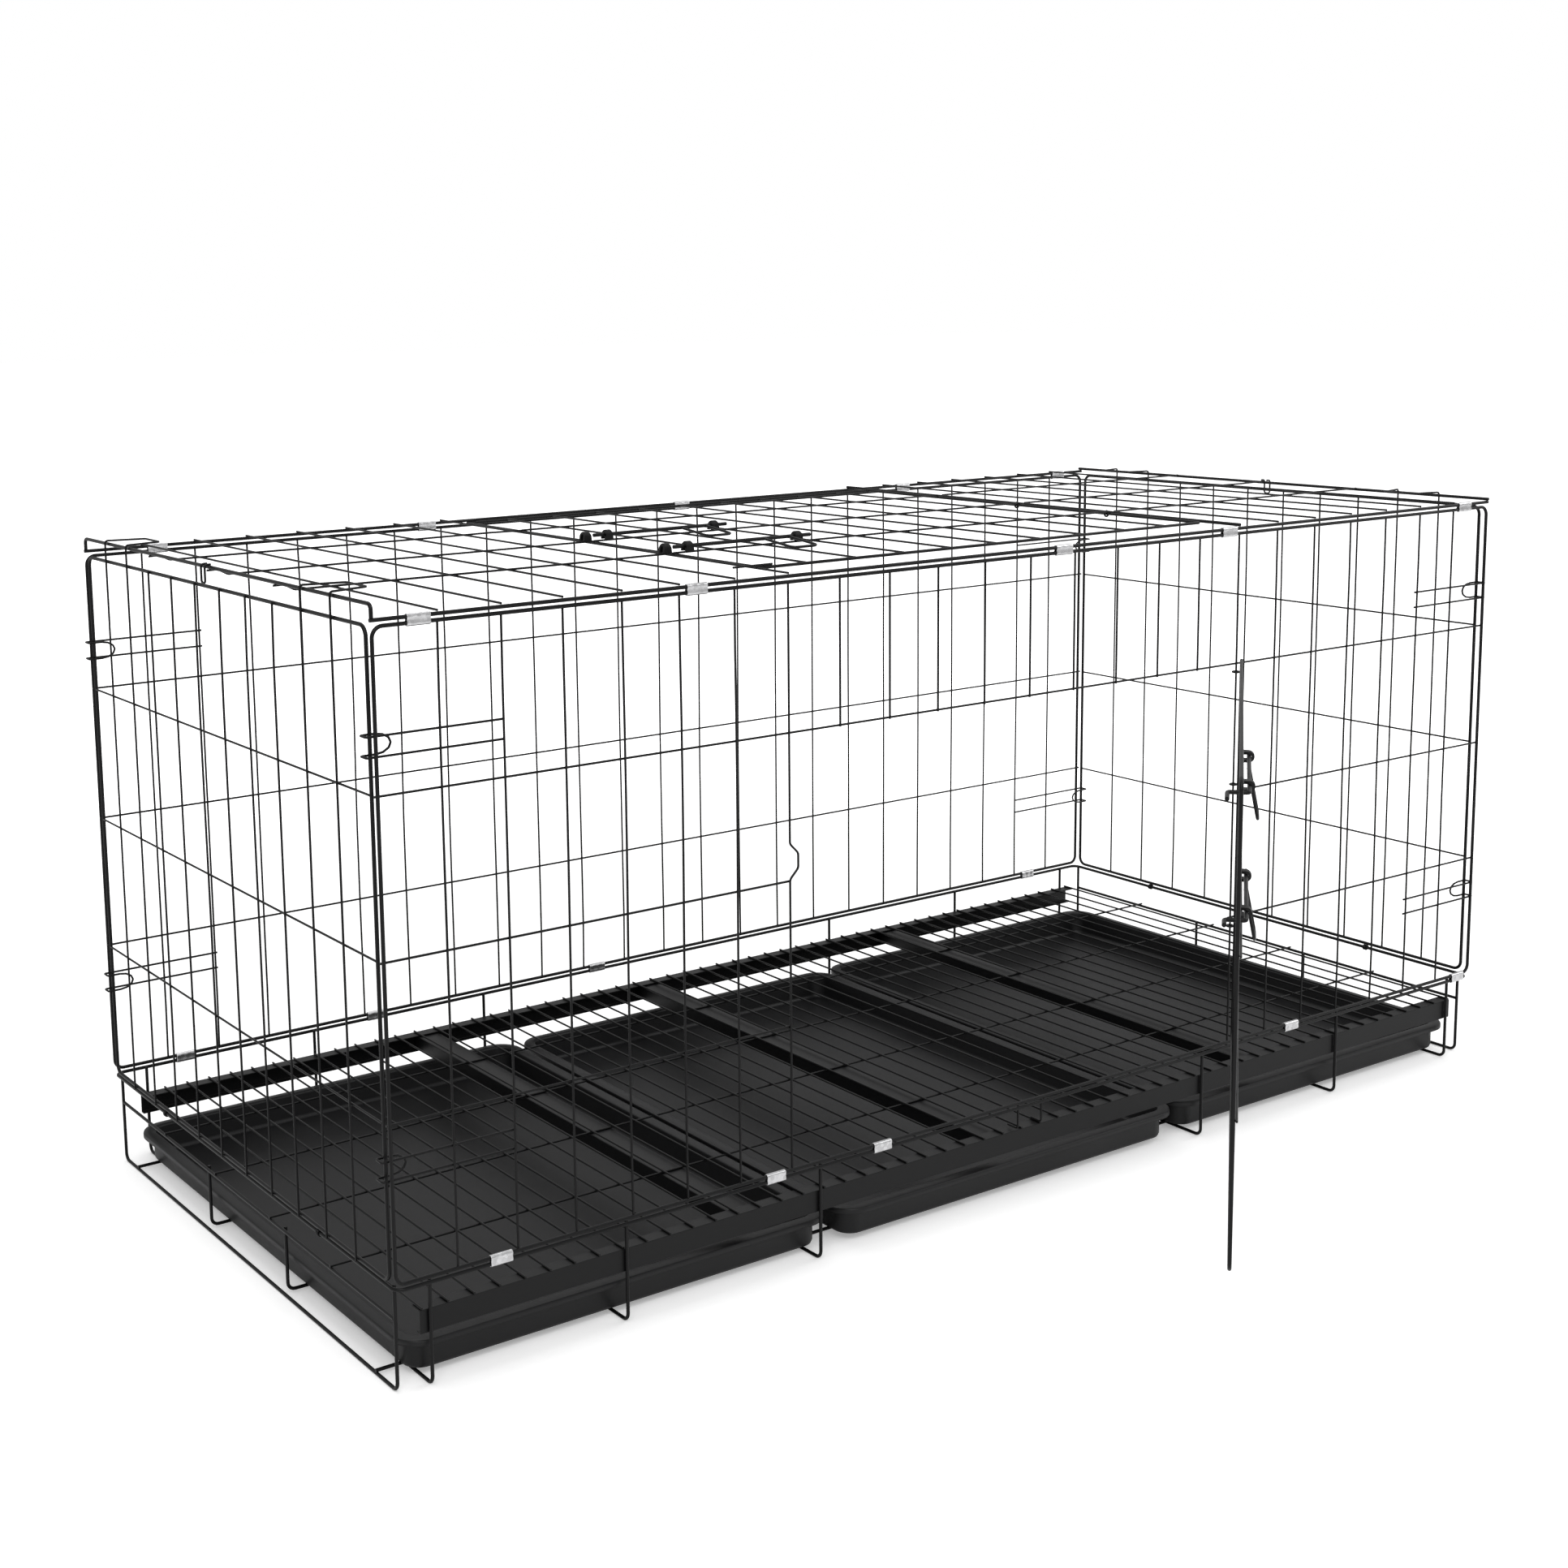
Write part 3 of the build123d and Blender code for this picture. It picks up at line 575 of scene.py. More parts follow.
def curl_path(centre, axis, radius, wire, width):
    """Centre line of wire wound round a bar, as wide as the curl."""
    turns = max(1, round(width / wire))
    side = Vector((1, 0, 0)) if abs(axis.z) > 0.5 else Vector((0, 0, 1))
    other = axis.cross(side)
    pitch = (width - wire) / max(turns - 1, 1) if turns > 1 else 0
    points = []
    steps = 14
    for step in range(turns * steps + 1):
        angle = math.tau * step / steps
        along = -(width - wire) / 2 + pitch * min(step / steps, turns - 1)
        points.append(centre + axis * along + (side * math.cos(angle) + other * math.sin(angle)) * radius)
    return points


def curl_piece(name, node, body, axis, turned=False):
    """Curls of wire in place of a node's flat-sided rings."""
    paths = []
    for low, high in solid_boxes(node, turned):
        size = high - low
        width = size[axis]
        outer = sorted(size)[-1] if size[axis] != max(size) else sorted(size)[1]
        wire = min(width, MESH_WIRE)
        direction = Vector([1.0 if i == axis else 0.0 for i in range(3)])
        paths.append(curl_path((low + high) / 2, direction, (outer - wire) / 2, wire, width))
    return wire_piece(name, paths, wire, body, [node], turned=turned)


# Pieces made of wire


def build_base():
    sizes = bpy.context.scene.crate_wires
    loop_piece("base_rail", "base_rail_loop", FRAME, FRAME_WIRE, sizes.frame_bend)
    for name, across, axis in (("cross_legs", 1, 0), ("end_legs", 1, 0), ("end_runners", 0, 1)):
        node = f"base_{name}"
        paths = [u_of(box, LEG_WIRE, across, 1) for box in joined_boxes(node, axis)]
        wire_piece(name, paths, LEG_WIRE, FRAME, [node], bend=sizes.leg_bend, sides=12)
    straight_piece("side_runners", "base_side_runners", FRAME, sides=12)
    straight_piece("lower_end_rails", "base_lower_end_rails", FRAME, sides=12)


def build_floor_wires():
    straight_piece("grid_wires", "floor_grid_wires", FRAME)
    straight_piece("long_floor_wires", "floor_long_wires", FRAME)
    paths = []
    for low, high in solid_boxes("floor_hold_down_hooks"):
        x = (low.x + high.x) / 2
        y = low.y + MESH_WIRE / 2
        z = low.z + MESH_WIRE / 2
        paths.append([Vector((x, y, high.z)), Vector((x, y, z)), Vector((x, high.y, z))])
    wire_piece("hold_down_hooks", paths, MESH_WIRE, FRAME, ["floor_hold_down_hooks"], bend=HOOK_BEND)


def bumped_upright(box):
    """The latch upright, which steps round the tip of the lower bolt."""
    low, high = box
    y = (low.y + high.y) / 2
    x = low.x + HALF_CORNERS
    out = high.x - HALF_CORNERS
    foot, crown = 14 * MM, 6 * MM
    heights = (
        (x, low.z), (x, BUMP_HEIGHT - foot), (out, BUMP_HEIGHT - crown),
        (out, BUMP_HEIGHT + crown), (x, BUMP_HEIGHT + foot), (x, high.z),
    )
    return [Vector((a, y, z)) for a, z in heights]


def corner_hook(box):
    """Two prongs that wrap round the end panel's frame, joined by a round catch behind it."""
    low, high = box
    side = 1 if low.x > 0 else -1
    front = -1 if low.y < 0 else 1
    z = (low.z + high.z) / 2
    start = low.x if side > 0 else high.x
    tip = (high.x if side > 0 else low.x) - side * MESH_WIRE / 2
    outer = (low.y if front < 0 else high.y) - front * MESH_WIRE / 2
    inner = (high.y if front < 0 else low.y) + front * MESH_WIRE / 2
    prong = (high.z - low.z - MESH_WIRE) / 2
    catch = []
    reach, bulge, steps = 11 * MM, 12 * MM, 6
    for step in range(steps + 1):
        angle = math.pi * step / steps
        catch.append((tip - side * (reach + bulge * math.sin(angle)), inner, prong * math.cos(angle)))
    outline = [(start, outer, prong), (tip, outer, prong), (tip, inner, prong)] + catch
    outline += [(tip, inner, -prong), (tip, outer, -prong), (start, outer, -prong)]
    return [Vector((x, y, z + rise)) for x, y, rise in outline]


def build_front_and_back():
    sizes = bpy.context.scene.crate_wires
    for side in ("front", "back"):
        loop_piece(f"{side}_frame", f"{side}_panel_frame", FRAME, FRAME_WIRE, sizes.frame_bend)
        straight_piece(f"{side}_uprights", f"{side}_panel_uprights", FRAME, bow=sizes.bow)
        straight_piece(f"{side}_cross_wires", f"{side}_panel_cross_wires", FRAME)
        node = f"{side}_corner_hooks"
        hooks = [corner_hook(box) for box in solid_boxes(node)]
        wire_piece(f"{side}_hooks", hooks, MESH_WIRE, FRAME, [node], bend=PRONG_BEND)
    straight_piece("short_uprights", "front_panel_short_uprights", FRAME)
    node = "front_panel_latch_upright"
    latch = [bumped_upright(box) for box in solid_boxes(node)]
    wire_piece("latch_upright", latch, MESH_WIRE, FRAME, [node], bend=LOOP_BEND)


def end_loop(box):
    """Small loop that hangs from an end wire of the top, outside the end panel."""
    low, high = box
    side = 1 if high.x > 0 else -1
    inner = low.x if side > 0 else high.x
    outer = (high.x if side > 0 else low.x) - side * MESH_WIRE / 2
    near, far = low.y + HALF_CORNERS, high.y - HALF_CORNERS
    top, foot = high.z - MESH_WIRE / 2, low.z + MESH_WIRE / 2
    outline = ((inner, near, top), (outer, near, top), (outer, near, foot),
               (outer, far, foot), (outer, far, top), (inner, far, top))
    return [Vector(point) for point in outline]


def risen_wire(box):
    """Long wire of the top; the ones at the left step up under the raised end wire."""
    low, high = box
    if high.z - low.z < 2 * MESH_WIRE:
        return run_of(box)
    y = (low.y + high.y) / 2
    top, foot = high.z - MESH_WIRE / 2, low.z + MESH_WIRE / 2
    end_low, end_high = solid_boxes("top_end_wires")[0]
    end = (end_low.x + end_high.x) / 2
    level, ramp = 8 * MM, 16 * MM
    outline = ((low.x, top), (end + level, top), (end + ramp, foot), (high.x, foot))
    return [Vector((x, y, z)) for x, z in outline]


def build_top():
    sizes = bpy.context.scene.crate_wires
    straight_piece("top_rails", "top_side_rails", FRAME, sides=14)
    raised, plain = solid_boxes("top_end_wires")
    ends = [u_of(raised, FRAME_WIRE, 1, -1), run_of(plain)]
    wire_piece("top_ends", ends, FRAME_WIRE, FRAME, ["top_end_wires"], bend=TURNED_BEND, sides=14)
    straight_piece("top_across", "top_cross_wires", FRAME)
    straight_piece("seam_wire", "top_seam_wire", FRAME, sides=14)
    node = "top_long_wires"
    along = [risen_wire(box) for box in solid_boxes(node)]
    wire_piece("top_along", along, MESH_WIRE, FRAME, [node], bend=RISE_BEND, bow=sizes.bow)
    loops = [end_loop(box) for box in solid_boxes("top_end_loops")]
    wire_piece("end_loops", loops, MESH_WIRE, FRAME, ["top_end_loops"], bend=HOOK_BEND)
    curl_piece("hatch_curls", "hatch_hinge_curls", FRAME, 1)


def hairpin(box):
    """Two uprights of one wire whose closed end reaches over the top end wire."""
    low, high = box
    side = 1 if high.x > 0 else -1
    skin = (high.x if side > 0 else low.x) - side * MESH_WIRE / 2
    tip = (low.x if side > 0 else high.x) + side * MESH_WIRE / 2
    near, far = low.y + HALF_CORNERS, high.y - HALF_CORNERS
    top = high.z - MESH_WIRE / 2
    narrow = 8 * MM
    outline = ((skin, near, low.z), (skin, near, top), (tip, near + narrow, top),
               (tip, far - narrow, top), (skin, far, top), (skin, far, low.z))
    return [Vector(point) for point in outline]


def build_ends():
    sizes = bpy.context.scene.crate_wires
    for side in ("left", "right"):
        body = f"{side}_end_panel"
        loop_piece(f"{side}_end_loop_frame", f"{side}_end_frame", body, FRAME_WIRE, sizes.frame_bend)
        straight_piece(f"{side}_end_plain_uprights", f"{side}_end_uprights", body, bow=sizes.bow)
        straight_piece(f"{side}_end_across", f"{side}_end_cross_wires", body)
        node = f"{side}_end_hooks"
        hooks = [hairpin(box) for box in solid_boxes(node)]
        wire_piece(f"{side}_end_hairpins", hooks, MESH_WIRE, body, [node], bend=HOOK_BEND, steps=4)
        curl_piece(f"{side}_end_curls", f"{side}_end_hinge_loops", body, 1)


def build_door():
    sizes = bpy.context.scene.crate_wires
    loop_piece("door_loop_frame", "door_frame", "front_door", FRAME_WIRE, sizes.frame_bend, turned=True)
    straight_piece("door_plain_uprights", "door_uprights", "front_door", turned=True)
    straight_piece("door_across", "door_cross_wires", "front_door", turned=True)
    curl_piece("door_curls", "door_hinge_loops", "front_door", 2, turned=True)


def build_hatch():
    loop_piece("hatch_loop_frame", "hatch_frame", "top_hatch", HATCH_WIRE, TURNED_BEND)
    straight_piece("hatch_across", "hatch_cross_wires", "top_hatch")
    straight_piece("hatch_along", "hatch_long_wires", "top_hatch")
    straight_piece("hatch_rests", "hatch_rest_hooks", "top_hatch")


# Bolts, guides and keepers


def merged_copy(node, name):
    """Copy of a node's mesh with its loose triangles joined."""
    mesh = bmesh.new()
    mesh.from_mesh(frame["nodes"][node].data)
    bmesh.ops.remove_doubles(mesh, verts=mesh.verts, dist=0.001 * MM)
    copy = bpy.data.meshes.new(name)
    mesh.to_mesh(copy)
    mesh.free()
    return copy


def arch(reach, drop, steps=12):
    """Half circle with straight feet, as (across, up) pairs."""
    points = [(reach, -drop)]
    for step in range(steps + 1):
        angle = math.pi * step / steps
        points.append((math.cos(angle) * reach, math.sin(angle) * reach))
    return points + [(-reach, -drop)]


def saddle(mesh, middle, half, reach, bore, drop, up, side):
    """Arched bridge over a rod, narrower at its crown than at its feet."""
    outside, inside = arch(reach, drop), arch(bore, drop)
    taper = 0.45
    rings = []
    for end in (-1, 1):
        ring = []
        for across, rise in outside + inside[::-1]:
            narrow = 1 - taper * max(0.0, (rise + drop) / (reach + drop)) ** 2
            along = Vector((end * half * narrow, 0, 0))
            ring.append(mesh.verts.new(middle + side * across + up * rise + along))
        rings.append(ring)
    count = len(rings[0])
    for i in range(count):
        j = (i + 1) % count
        mesh.faces.new((rings[0][i], rings[0][j], rings[1][j], rings[1][i]))
    width = len(outside)
    for ring in rings:
        back = ring[width:][::-1]
        for i in range(width - 1):
            mesh.faces.new((ring[i], ring[i + 1], back[i + 1], back[i]))


def finished(name, mesh, finish):
    """Object made from a bmesh, with its faces outward."""
    bmesh.ops.recalc_face_normals(mesh, faces=mesh.faces)
    data = bpy.data.meshes.new(name)
    mesh.to_mesh(data)
    mesh.free()
    data.materials.append(finish)
    return add_object(name, data)


def guide_row(name, node, body, turned=False):
    """Saddles in place of a node's guide blocks."""
    mesh = bmesh.new()
    up = Vector((0, -1, 0)) if turned else Vector((0, 0, 1))
    side = Vector((0, 0, 1)) if turned else Vector((0, 1, 0))
    for low, high in solid_boxes(node, turned):
        size = high - low
        reach = size.z / 2
        bore = ROD_WIRE / 2 + 0.3 * MM
        drop = reach * 0.98
        saddle(mesh, (low + high) / 2, size.x / 2, reach, bore, drop, up, side)
    piece = finished(name, mesh, coating(bpy.context.scene.crate_finish))
    return settle(piece, body, [node], turned)


def bolt_pieces(name, node, body, turned):
    """Rod and pull loop of a slide bolt, as round wire."""
    boxes = solid_boxes(node, turned)
    boxes.sort(key=lambda box: -(box[1] - box[0]).x)
    (low, high), (loop_low, loop_high) = boxes
    half = PULL_WIRE / 2
    left, right = loop_low.x + half, loop_high.x - half
    far_y, far_z = loop_low.y + half, loop_low.z + half
    if turned:
        tip_y, rod_y, z = high.y - ROD_WIRE / 2, low.y + ROD_WIRE / 2, (low.z + high.z) / 2
        path = [(low.x, tip_y, z), (BOLT_STEP, tip_y, z), (BOLT_STEP, rod_y, z), (high.x, rod_y, z)]
        near_y, near_z = loop_high.y - half, loop_high.z
    else:
        y, z = (low.y + high.y) / 2, (low.z + high.z) / 2
        path = [(low.x, y, z), (high.x, y, z)]
        near_y, near_z = loop_high.y, loop_high.z - half
    pull = [(left, near_y, near_z), (left, far_y, far_z), (right, far_y, far_z), (right, near_y, near_z)]
    wire_piece(f"{name}_rod", [path], ROD_WIRE, body, [node], bend=ROD_BEND, sides=14, turned=turned)
    wire_piece(f"{name}_pull", [pull], PULL_WIRE, body, [node], bend=LOOP_BEND, sides=12, turned=turned)


def build_bolts():
    for side in ("upper", "lower"):
        bolt_pieces(f"door_{side}", f"door_{side}_bolt", f"door_{side}_slide_bolt", True)
    for side in ("front", "rear"):
        bolt_pieces(f"hatch_{side}", f"hatch_{side}_bolt", f"hatch_{side}_slide_bolt", False)
    guide_row("door_guides", "door_bolt_guides", "front_door", turned=True)
    guide_row("hatch_guides", "hatch_bolt_guides", "top_hatch")
    guide_row("hatch_keepers", "hatch_bolt_keepers", FRAME)


# Clips, folded sheet and trays


def clip_section(width, height, sheet, press):
    """Outer and inner (across, up) points of a sleeve round two wires; press dents its faces."""
    lobe = width / 2
    rise = height / 2 - lobe
    wrap, waist, pressed = 0.25, 0.80, 0.36  # overrun in radians, then shares of lobe and height
    points = []
    for middle, start in ((rise, 0), (-rise, math.pi)):
        for step in range(11):
            angle = start - wrap + (math.pi + 2 * wrap) * step / 10
            points.append((math.cos(angle) * lobe, middle + math.sin(angle) * lobe))
        points.append((-math.cos(start) * lobe * waist, 0))
    outer = [(across * (1 - press if abs(up) < height * pressed else 1.0), up) for across, up in points]
    inner = [(across * (1 - sheet / lobe), up * (1 - 2 * sheet / height)) for across, up in outer]
    return outer, inner


def clip_row(name, node):
    """Sleeves of folded sheet, pressed in at two places so that they grip the wires."""
    sizes = bpy.context.scene.crate_sheets
    mesh = bmesh.new()
    stations = (-0.5, -0.48, -0.30, -0.26, -0.10, -0.06, 0.06, 0.10, 0.26, 0.30, 0.48, 0.5)
    presses = (0.06, 0.0, 0.0, 0.16, 0.16, 0.0, 0.0, 0.16, 0.16, 0.0, 0.0, 0.06)
    for low, high in solid_boxes(node):
        size = high - low
        middle = (low + high) / 2
        skins = ([], [])
        for station, press in zip(stations, presses):
            x = station * size.x
            for skin, outline in zip(skins, clip_section(size.y, size.z, sizes.clip_sheet, press)):
                skin.append([mesh.verts.new(middle + Vector((x, across, up))) for across, up in outline])
        count = len(skins[0][0])
        for i in range(count):
            j = (i + 1) % count
            for rings in skins:
                for first, second in zip(rings, rings[1:]):
                    mesh.faces.new((first[i], first[j], second[j], second[i]))
            for end in (0, -1):
                mesh.faces.new((skins[0][end][i], skins[0][end][j], skins[1][end][j], skins[1][end][i]))
    for face in mesh.faces:
        face.smooth = True
    piece = finished(name, mesh, zinc(bpy.context.scene.crate_finish))
    return settle(piece, FRAME, [node])


def build_clips():
    for place in ("top_front", "top_back", "base_front", "base_back"):
        clip_row(f"sleeves_{place}", f"clips_{place}")


def rounded_ring(half_x, half_y, corner, steps):
    points = []
    for quarter, (side_x, side_y) in enumerate(((1, 1), (-1, 1), (-1, -1), (1, -1))):
        for step in range(steps + 1):
            angle = math.pi / 2 * (quarter + step / steps)
            points.append((side_x * (half_x - corner) + math.cos(angle) * corner,
                           side_y * (half_y - corner) + math.sin(angle) * corner))
    return points


def tray_profile(height, wall, rim):
    """Closed section of a tray as (inset, height) pairs, from the lip over the rim to the underside."""
    lip = 5 * MM
    fold = 1.4 * MM
    floor = 3.5 * MM
    eased = 0.3
    inner = rim + wall
    return [
        (wall * 0.6, height - lip), (0, height - lip + 0.4 * MM), (0, height - fold),
        (fold * eased, height - fold * eased), (fold, height), (inner - fold, height),
        (inner - fold * eased, height - fold * eased), (inner, height - fold), (inner, wall + floor),
        (inner + floor * eased, wall + floor * eased), (inner + floor, wall),
        None,
        (rim + floor, 0), (rim + floor * eased, floor * eased), (rim, floor),
        (rim, height - wall - fold * 0.4), (rim - fold * 0.4, height - wall), (wall, height - wall),
    ]


def tray_piece(name, node, body):
    """Moulded tray with a turned-down rim and eased edges."""
    sizes = bpy.context.scene.crate_sheets
    finish = tray_plastic(bpy.context.scene.crate_finish)
    low, high = solid_boxes(node)[0]
    size = high - low
    middle = (low + high) / 2
    profile = tray_profile(size.z, sizes.tray_wall, sizes.tray_rim)
    mesh = bmesh.new()
    rings = []
    steps = 8
    for pair in profile:
        if pair is None:
            rings.append(None)
            continue
        inset, height = pair
        corner = max(sizes.tray_corner - inset, 3 * MM)
        outline = rounded_ring(size.x / 2 - inset, size.y / 2 - inset, corner, steps)
        rings.append([mesh.verts.new((middle.x + x, middle.y + y, low.z + height)) for x, y in outline])
    count = len(next(ring for ring in rings if ring))
    order = rings + [rings[0]]
    for first, second in zip(order, order[1:]):
        if first is None or second is None:
            continue
        for i in range(count):
            j = (i + 1) % count
            mesh.faces.new((first[i], first[j], second[j], second[i]))
    gap = rings.index(None)
    for ring in (rings[gap - 1], rings[gap + 1]):
        mesh.faces.new(ring)
    for face in mesh.faces:
        face.smooth = len(face.verts) == 4
    return settle(finished(name, mesh, finish), body, [node])


def build_trays():
    tray_piece("left_pan", "tray_left", FRAME)
    tray_piece("middle_pan", "tray_middle", "middle_tray")
    tray_piece("right_pan", "tray_right", FRAME)


def folded_piece(name, node):
    """The node's own form with rounded folds."""
    data = merged_copy(node, name)
    data.materials.clear()
    data.materials.append(folded_sheet(bpy.context.scene.crate_finish))
    piece = add_object(name, data)
    bevel = piece.modifiers.new("folds", "BEVEL")
    bevel.width = 0.45 * MM
    bevel.segments = 2
    bevel.limit_method = "ANGLE"
    bevel.angle_limit = math.radians(50)
    keep_result(piece, bevel)
    return settle(piece, FRAME, [node])


def build_folded_sheet():
    folded_piece("side_channels", "floor_side_channels")
    folded_piece("cross_beams", "floor_cross_beams")


# Stage


def build_stage():
    stage = bpy.context.scene.crate_stage
    scene = bpy.context.scene
    mesh = bpy.data.meshes.new("floor")
    reach = 30.0
    corners = [(x * reach, y * reach, 0) for x, y in ((-1, -1), (1, -1), (1, 1), (-1, 1))]
    mesh.from_pydata(corners, [], [(0, 1, 2, 3)])
    floor = add_object("floor", mesh)
    material, tree, shader = start_material("plain_floor")
    place = new_node(tree, "ShaderNodeTexCoord")
    cloud = new_node(tree, "ShaderNodeTexNoise")
    set_values(cloud, Scale=0.8)
    link(tree, place.outputs["Object"], cloud.inputs["Vector"])
    tone = new_node(tree, "ShaderNodeMix", data_type="RGBA")
    tone.inputs["A"].default_value = (*stage.floor_colour, 1)
    tone.inputs["B"].default_value = (*[min(1.0, value * 1.01) for value in stage.floor_colour], 1)
    link(tree, cloud.outputs["Fac"], tone.inputs["Factor"])
    link(tree, tone.outputs["Result"], shader.inputs["Base Color"])
    shader.inputs["Roughness"].default_value = 0.9
    shader.inputs["Specular IOR Level"].default_value = 0.0
    far = new_node(tree, "ShaderNodeVectorMath", operation="LENGTH")
    link(tree, place.outputs["Object"], far.inputs[0])
    lift = new_node(tree, "ShaderNodeMapRange", interpolation_type="SMOOTHSTEP")
    set_values(lift, From_Min=0.7, From_Max=1.7, To_Min=stage.floor_lift, To_Max=1.0)
    link(tree, far.outputs["Value"], lift.inputs["Value"])
    seen = new_node(tree, "ShaderNodeLightPath")
    shader.inputs["Emission Color"].default_value = (1, 1, 1, 1)
    glow = math_node(tree, "MULTIPLY", seen.outputs["Is Camera Ray"], lift.outputs[0])
    link(tree, glow, shader.inputs["Emission Strength"])
    mesh.materials.append(material)

    world = bpy.data.worlds.new("studio")
    scene.world = world
    world.use_nodes = True
    sky = world.node_tree
    background = sky.nodes["Background"]
    paths = new_node(sky, "ShaderNodeLightPath")
    strength = new_node(sky, "ShaderNodeMix", data_type="FLOAT")
    strength.inputs["A"].default_value = stage.sky_strength
    strength.inputs["B"].default_value = 1.0
    link(sky, paths.outputs["Is Camera Ray"], strength.inputs["Factor"])
    background.inputs["Color"].default_value = (1, 1, 1, 1)
    link(sky, strength.outputs["Result"], background.inputs["Strength"])

    aim = Vector((0, 0, 0.25))
    lamps = (
        ("key", (-1.6, -2.6, 3.2), 2.6, stage.key_strength),
        ("fill", (2.8, -1.2, 2.4), 2.4, stage.key_strength * 0.5),
        ("top", (0.0, 1.2, 3.6), 3.0, stage.key_strength * 0.6),
    )
    for name, place, width, power in lamps:
        data = bpy.data.lights.new(name, "AREA")
        data.size = width
        data.energy = power
        lamp = add_object(name, data)
        lamp.location = place
        lamp.rotation_euler = (aim - Vector(place)).to_track_quat("-Z", "Y").to_euler()
    build_camera()
    scene.view_settings.view_transform = "Standard"


def build_camera():
    """Camera at the photograph's place: its turn, height and roll, and the small shift of its crop."""
    azimuth, elevation, roll = -0.588452, 0.154618, -0.0177559
    place = Vector((-1.25102, -1.57166, 0.7625))
    focal, centre_x, centre_y, side = 2698.52, 790.78, 789.07, 1932.0  # in the photograph's pixels
    right = Vector((math.cos(azimuth), math.sin(azimuth), 0))
    level = math.cos(elevation)
    back = Vector((math.sin(azimuth) * level, -math.cos(azimuth) * level, math.sin(elevation)))
    up = back.cross(right)
    rolled_right = right * math.cos(roll) + up * math.sin(roll)
    rolled_up = up * math.cos(roll) - right * math.sin(roll)
    data = bpy.data.cameras.new("camera")
    data.sensor_width = 36.0
    data.lens = focal / side * data.sensor_width
    data.shift_x = (side / 2 - centre_x) / side
    data.shift_y = -(side / 2 - centre_y) / side
    data.clip_start = 0.05
    data.clip_end = 100.0
    camera = add_object("camera", data)
    turn = Matrix((rolled_right, rolled_up, back)).transposed().to_4x4()
    camera.matrix_world = Matrix.Translation(place) @ turn
    bpy.context.scene.camera = camera


# Operators


class CRATE_OT_base(bpy.types.Operator):
    """Bend the base rail, the legs and the runners"""

    bl_idname = "crate.base"
    bl_label = "Base"

    def execute(self, context):
        build_base()
        return {"FINISHED"}


class CRATE_OT_floor_wires(bpy.types.Operator):
    """Lay the floor grid and its hold-down hooks"""

    bl_idname = "crate.floor_wires"
    bl_label = "Floor grid"

    def execute(self, context):
        build_floor_wires()
        return {"FINISHED"}


class CRATE_OT_folded_sheet(bpy.types.Operator):
    """Fold the floor's side channels and cross beams"""

    bl_idname = "crate.folded_sheet"
    bl_label = "Channels and beams"

    def execute(self, context):
        build_folded_sheet()
        return {"FINISHED"}


class CRATE_OT_trays(bpy.types.Operator):
    """Mould the three trays"""

    bl_idname = "crate.trays"
    bl_label = "Trays"

    def execute(self, context):
        build_trays()
        return {"FINISHED"}


class CRATE_OT_front_and_back(bpy.types.Operator):
    """Weld the front and back panels"""

    bl_idname = "crate.front_and_back"
    bl_label = "Front and back panels"

    def execute(self, context):
        build_front_and_back()
        return {"FINISHED"}


class CRATE_OT_top(bpy.types.Operator):
    """Weld the top panel with its raised end wires"""

    bl_idname = "crate.top"
    bl_label = "Top panel"

    def execute(self, context):
        build_top()
        return {"FINISHED"}


class CRATE_OT_ends(bpy.types.Operator):
    """Weld the two end panels with their hooks"""

    bl_idname = "crate.ends"
    bl_label = "End panels"

    def execute(self, context):
        build_ends()
        return {"FINISHED"}


class CRATE_OT_door(bpy.types.Operator):
    """Weld the front door"""

    bl_idname = "crate.door"
    bl_label = "Front door"

    def execute(self, context):
        build_door()
        return {"FINISHED"}


class CRATE_OT_hatch(bpy.types.Operator):
    """Weld the top hatch"""

    bl_idname = "crate.hatch"
    bl_label = "Top hatch"

    def execute(self, context):
        build_hatch()
        return {"FINISHED"}


class CRATE_OT_bolts(bpy.types.Operator):
    """Fit the slide bolts, their guides and keepers"""

    bl_idname = "crate.bolts"
    bl_label = "Slide bolts"

    def execute(self, context):
        build_bolts()
        return {"FINISHED"}


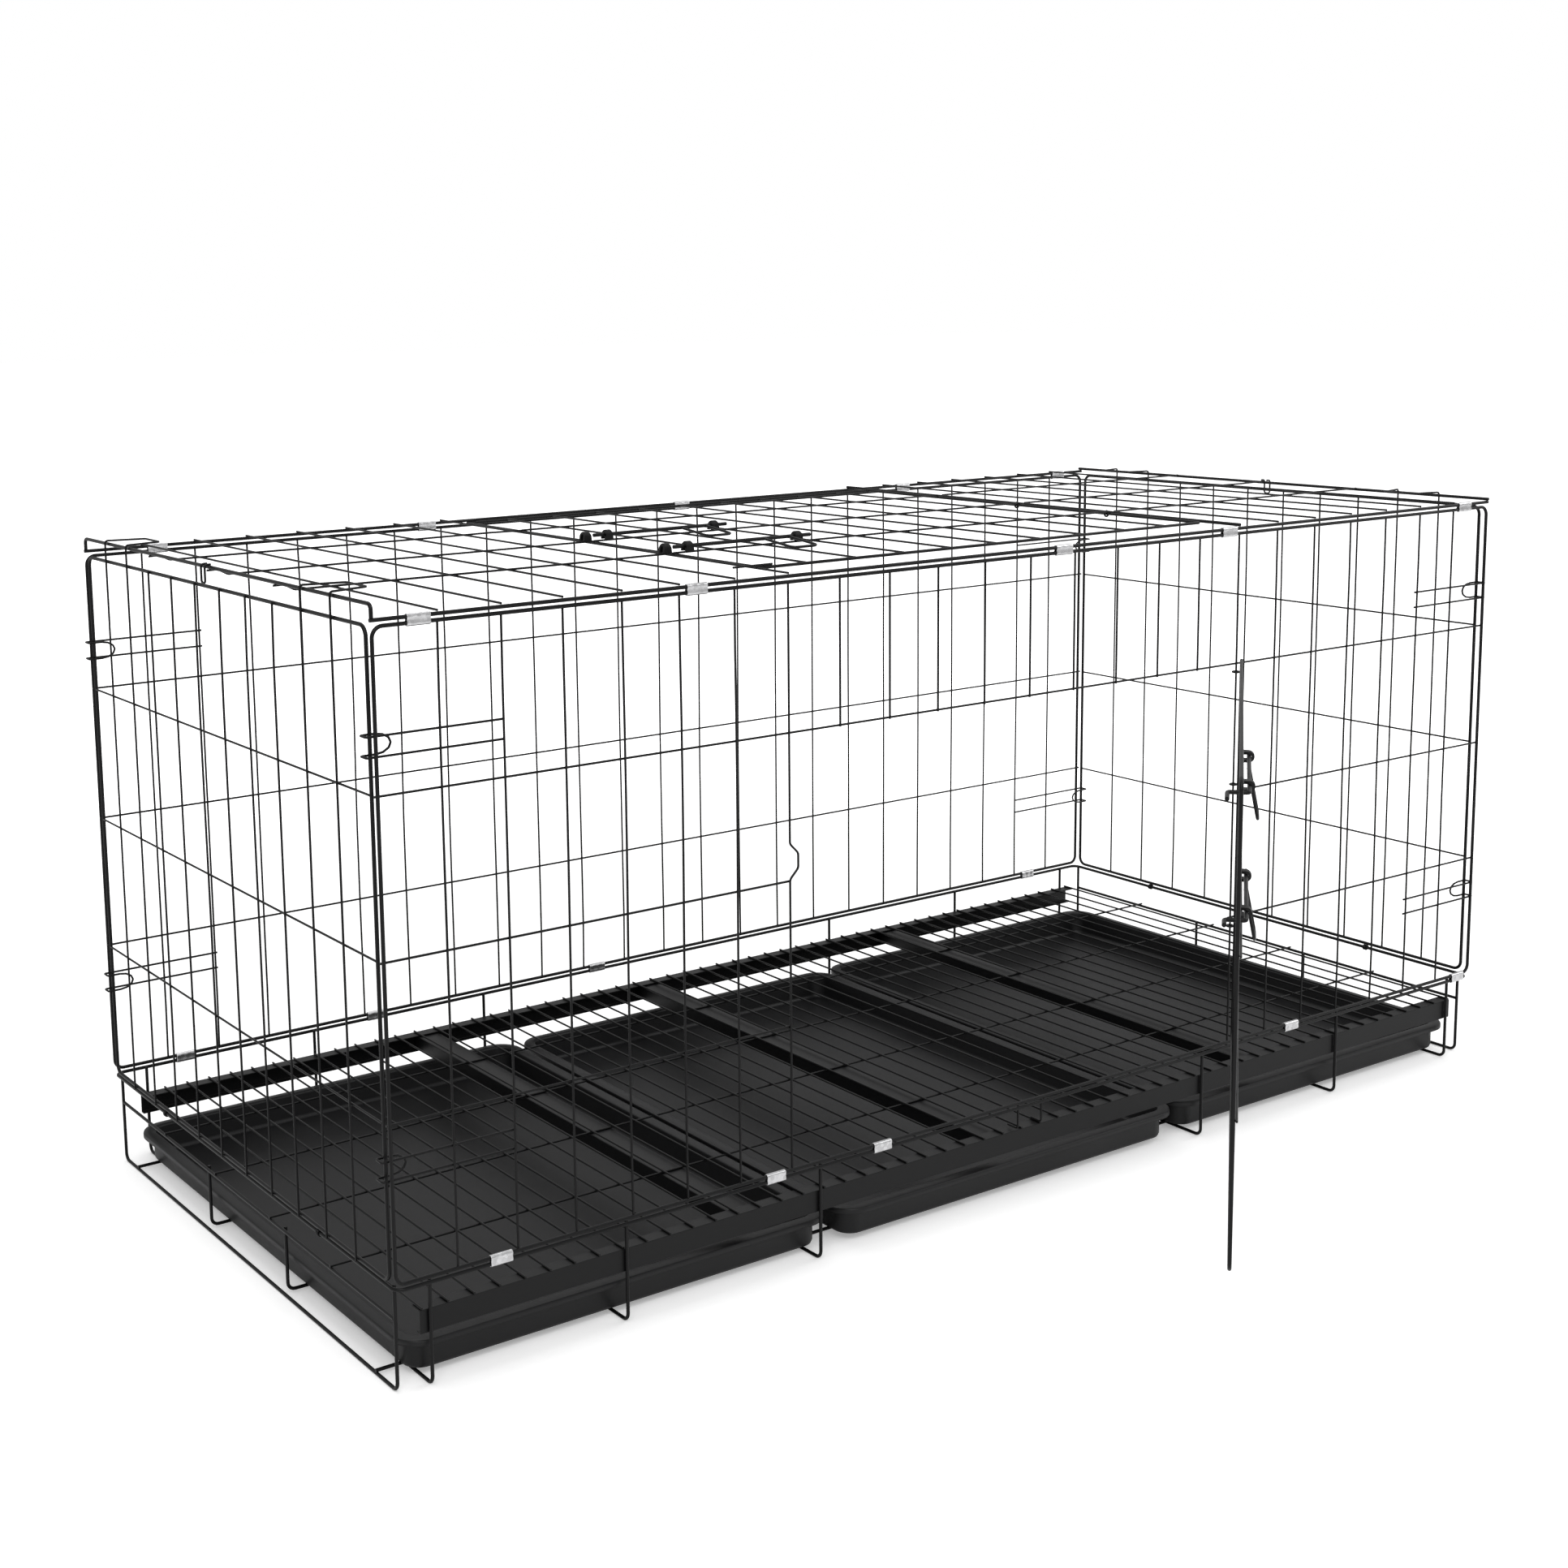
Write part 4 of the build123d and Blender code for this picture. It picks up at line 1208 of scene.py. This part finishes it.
class CRATE_OT_clips(bpy.types.Operator):
    """Crimp the zinc clips round each pair of rails"""

    bl_idname = "crate.clips"
    bl_label = "Clips"

    def execute(self, context):
        build_clips()
        return {"FINISHED"}


class CRATE_OT_stage(bpy.types.Operator):
    """Set out the floor, the light and the camera"""

    bl_idname = "crate.stage"
    bl_label = "Stage"

    def execute(self, context):
        build_stage()
        return {"FINISHED"}


OPERATORS = (
    CRATE_OT_base, CRATE_OT_floor_wires, CRATE_OT_folded_sheet, CRATE_OT_trays,
    CRATE_OT_front_and_back, CRATE_OT_top, CRATE_OT_ends, CRATE_OT_door,
    CRATE_OT_hatch, CRATE_OT_bolts, CRATE_OT_clips, CRATE_OT_stage,
)


class CRATE_PT_panel(bpy.types.Panel):
    """Sizes, finishes and the pieces of the crate"""

    bl_idname = "CRATE_PT_panel"
    bl_label = "Dog crate"
    bl_space_type = "VIEW_3D"
    bl_region_type = "UI"
    bl_category = "Crate"

    def draw(self, context):
        layout = self.layout
        for group in (context.scene.crate_wires, context.scene.crate_sheets,
                      context.scene.crate_finish, context.scene.crate_stage):
            column = layout.column(align=True)
            for name in group.__annotations__:
                column.prop(group, name)
        for operator in OPERATORS:
            layout.operator(operator.bl_idname)


PROPERTIES = {
    "crate_wires": CrateWireSizes,
    "crate_sheets": CrateSheetSizes,
    "crate_finish": CrateFinish,
    "crate_stage": CrateStage,
}


def register():
    for group in PROPERTIES.values():
        bpy.utils.register_class(group)
    for name, group in PROPERTIES.items():
        setattr(bpy.types.Scene, name, bpy.props.PointerProperty(type=group))
    for operator in OPERATORS:
        bpy.utils.register_class(operator)
    bpy.utils.register_class(CRATE_PT_panel)


def unregister():
    bpy.utils.unregister_class(CRATE_PT_panel)
    for operator in reversed(OPERATORS):
        bpy.utils.unregister_class(operator)
    for name in PROPERTIES:
        delattr(bpy.types.Scene, name)
    for group in reversed(PROPERTIES.values()):
        bpy.utils.unregister_class(group)


def main():
    register()
    for operator in OPERATORS:
        group, name = operator.bl_idname.split(".")
        getattr(getattr(bpy.ops, group), name)()


if __name__ == "__main__":
    main()
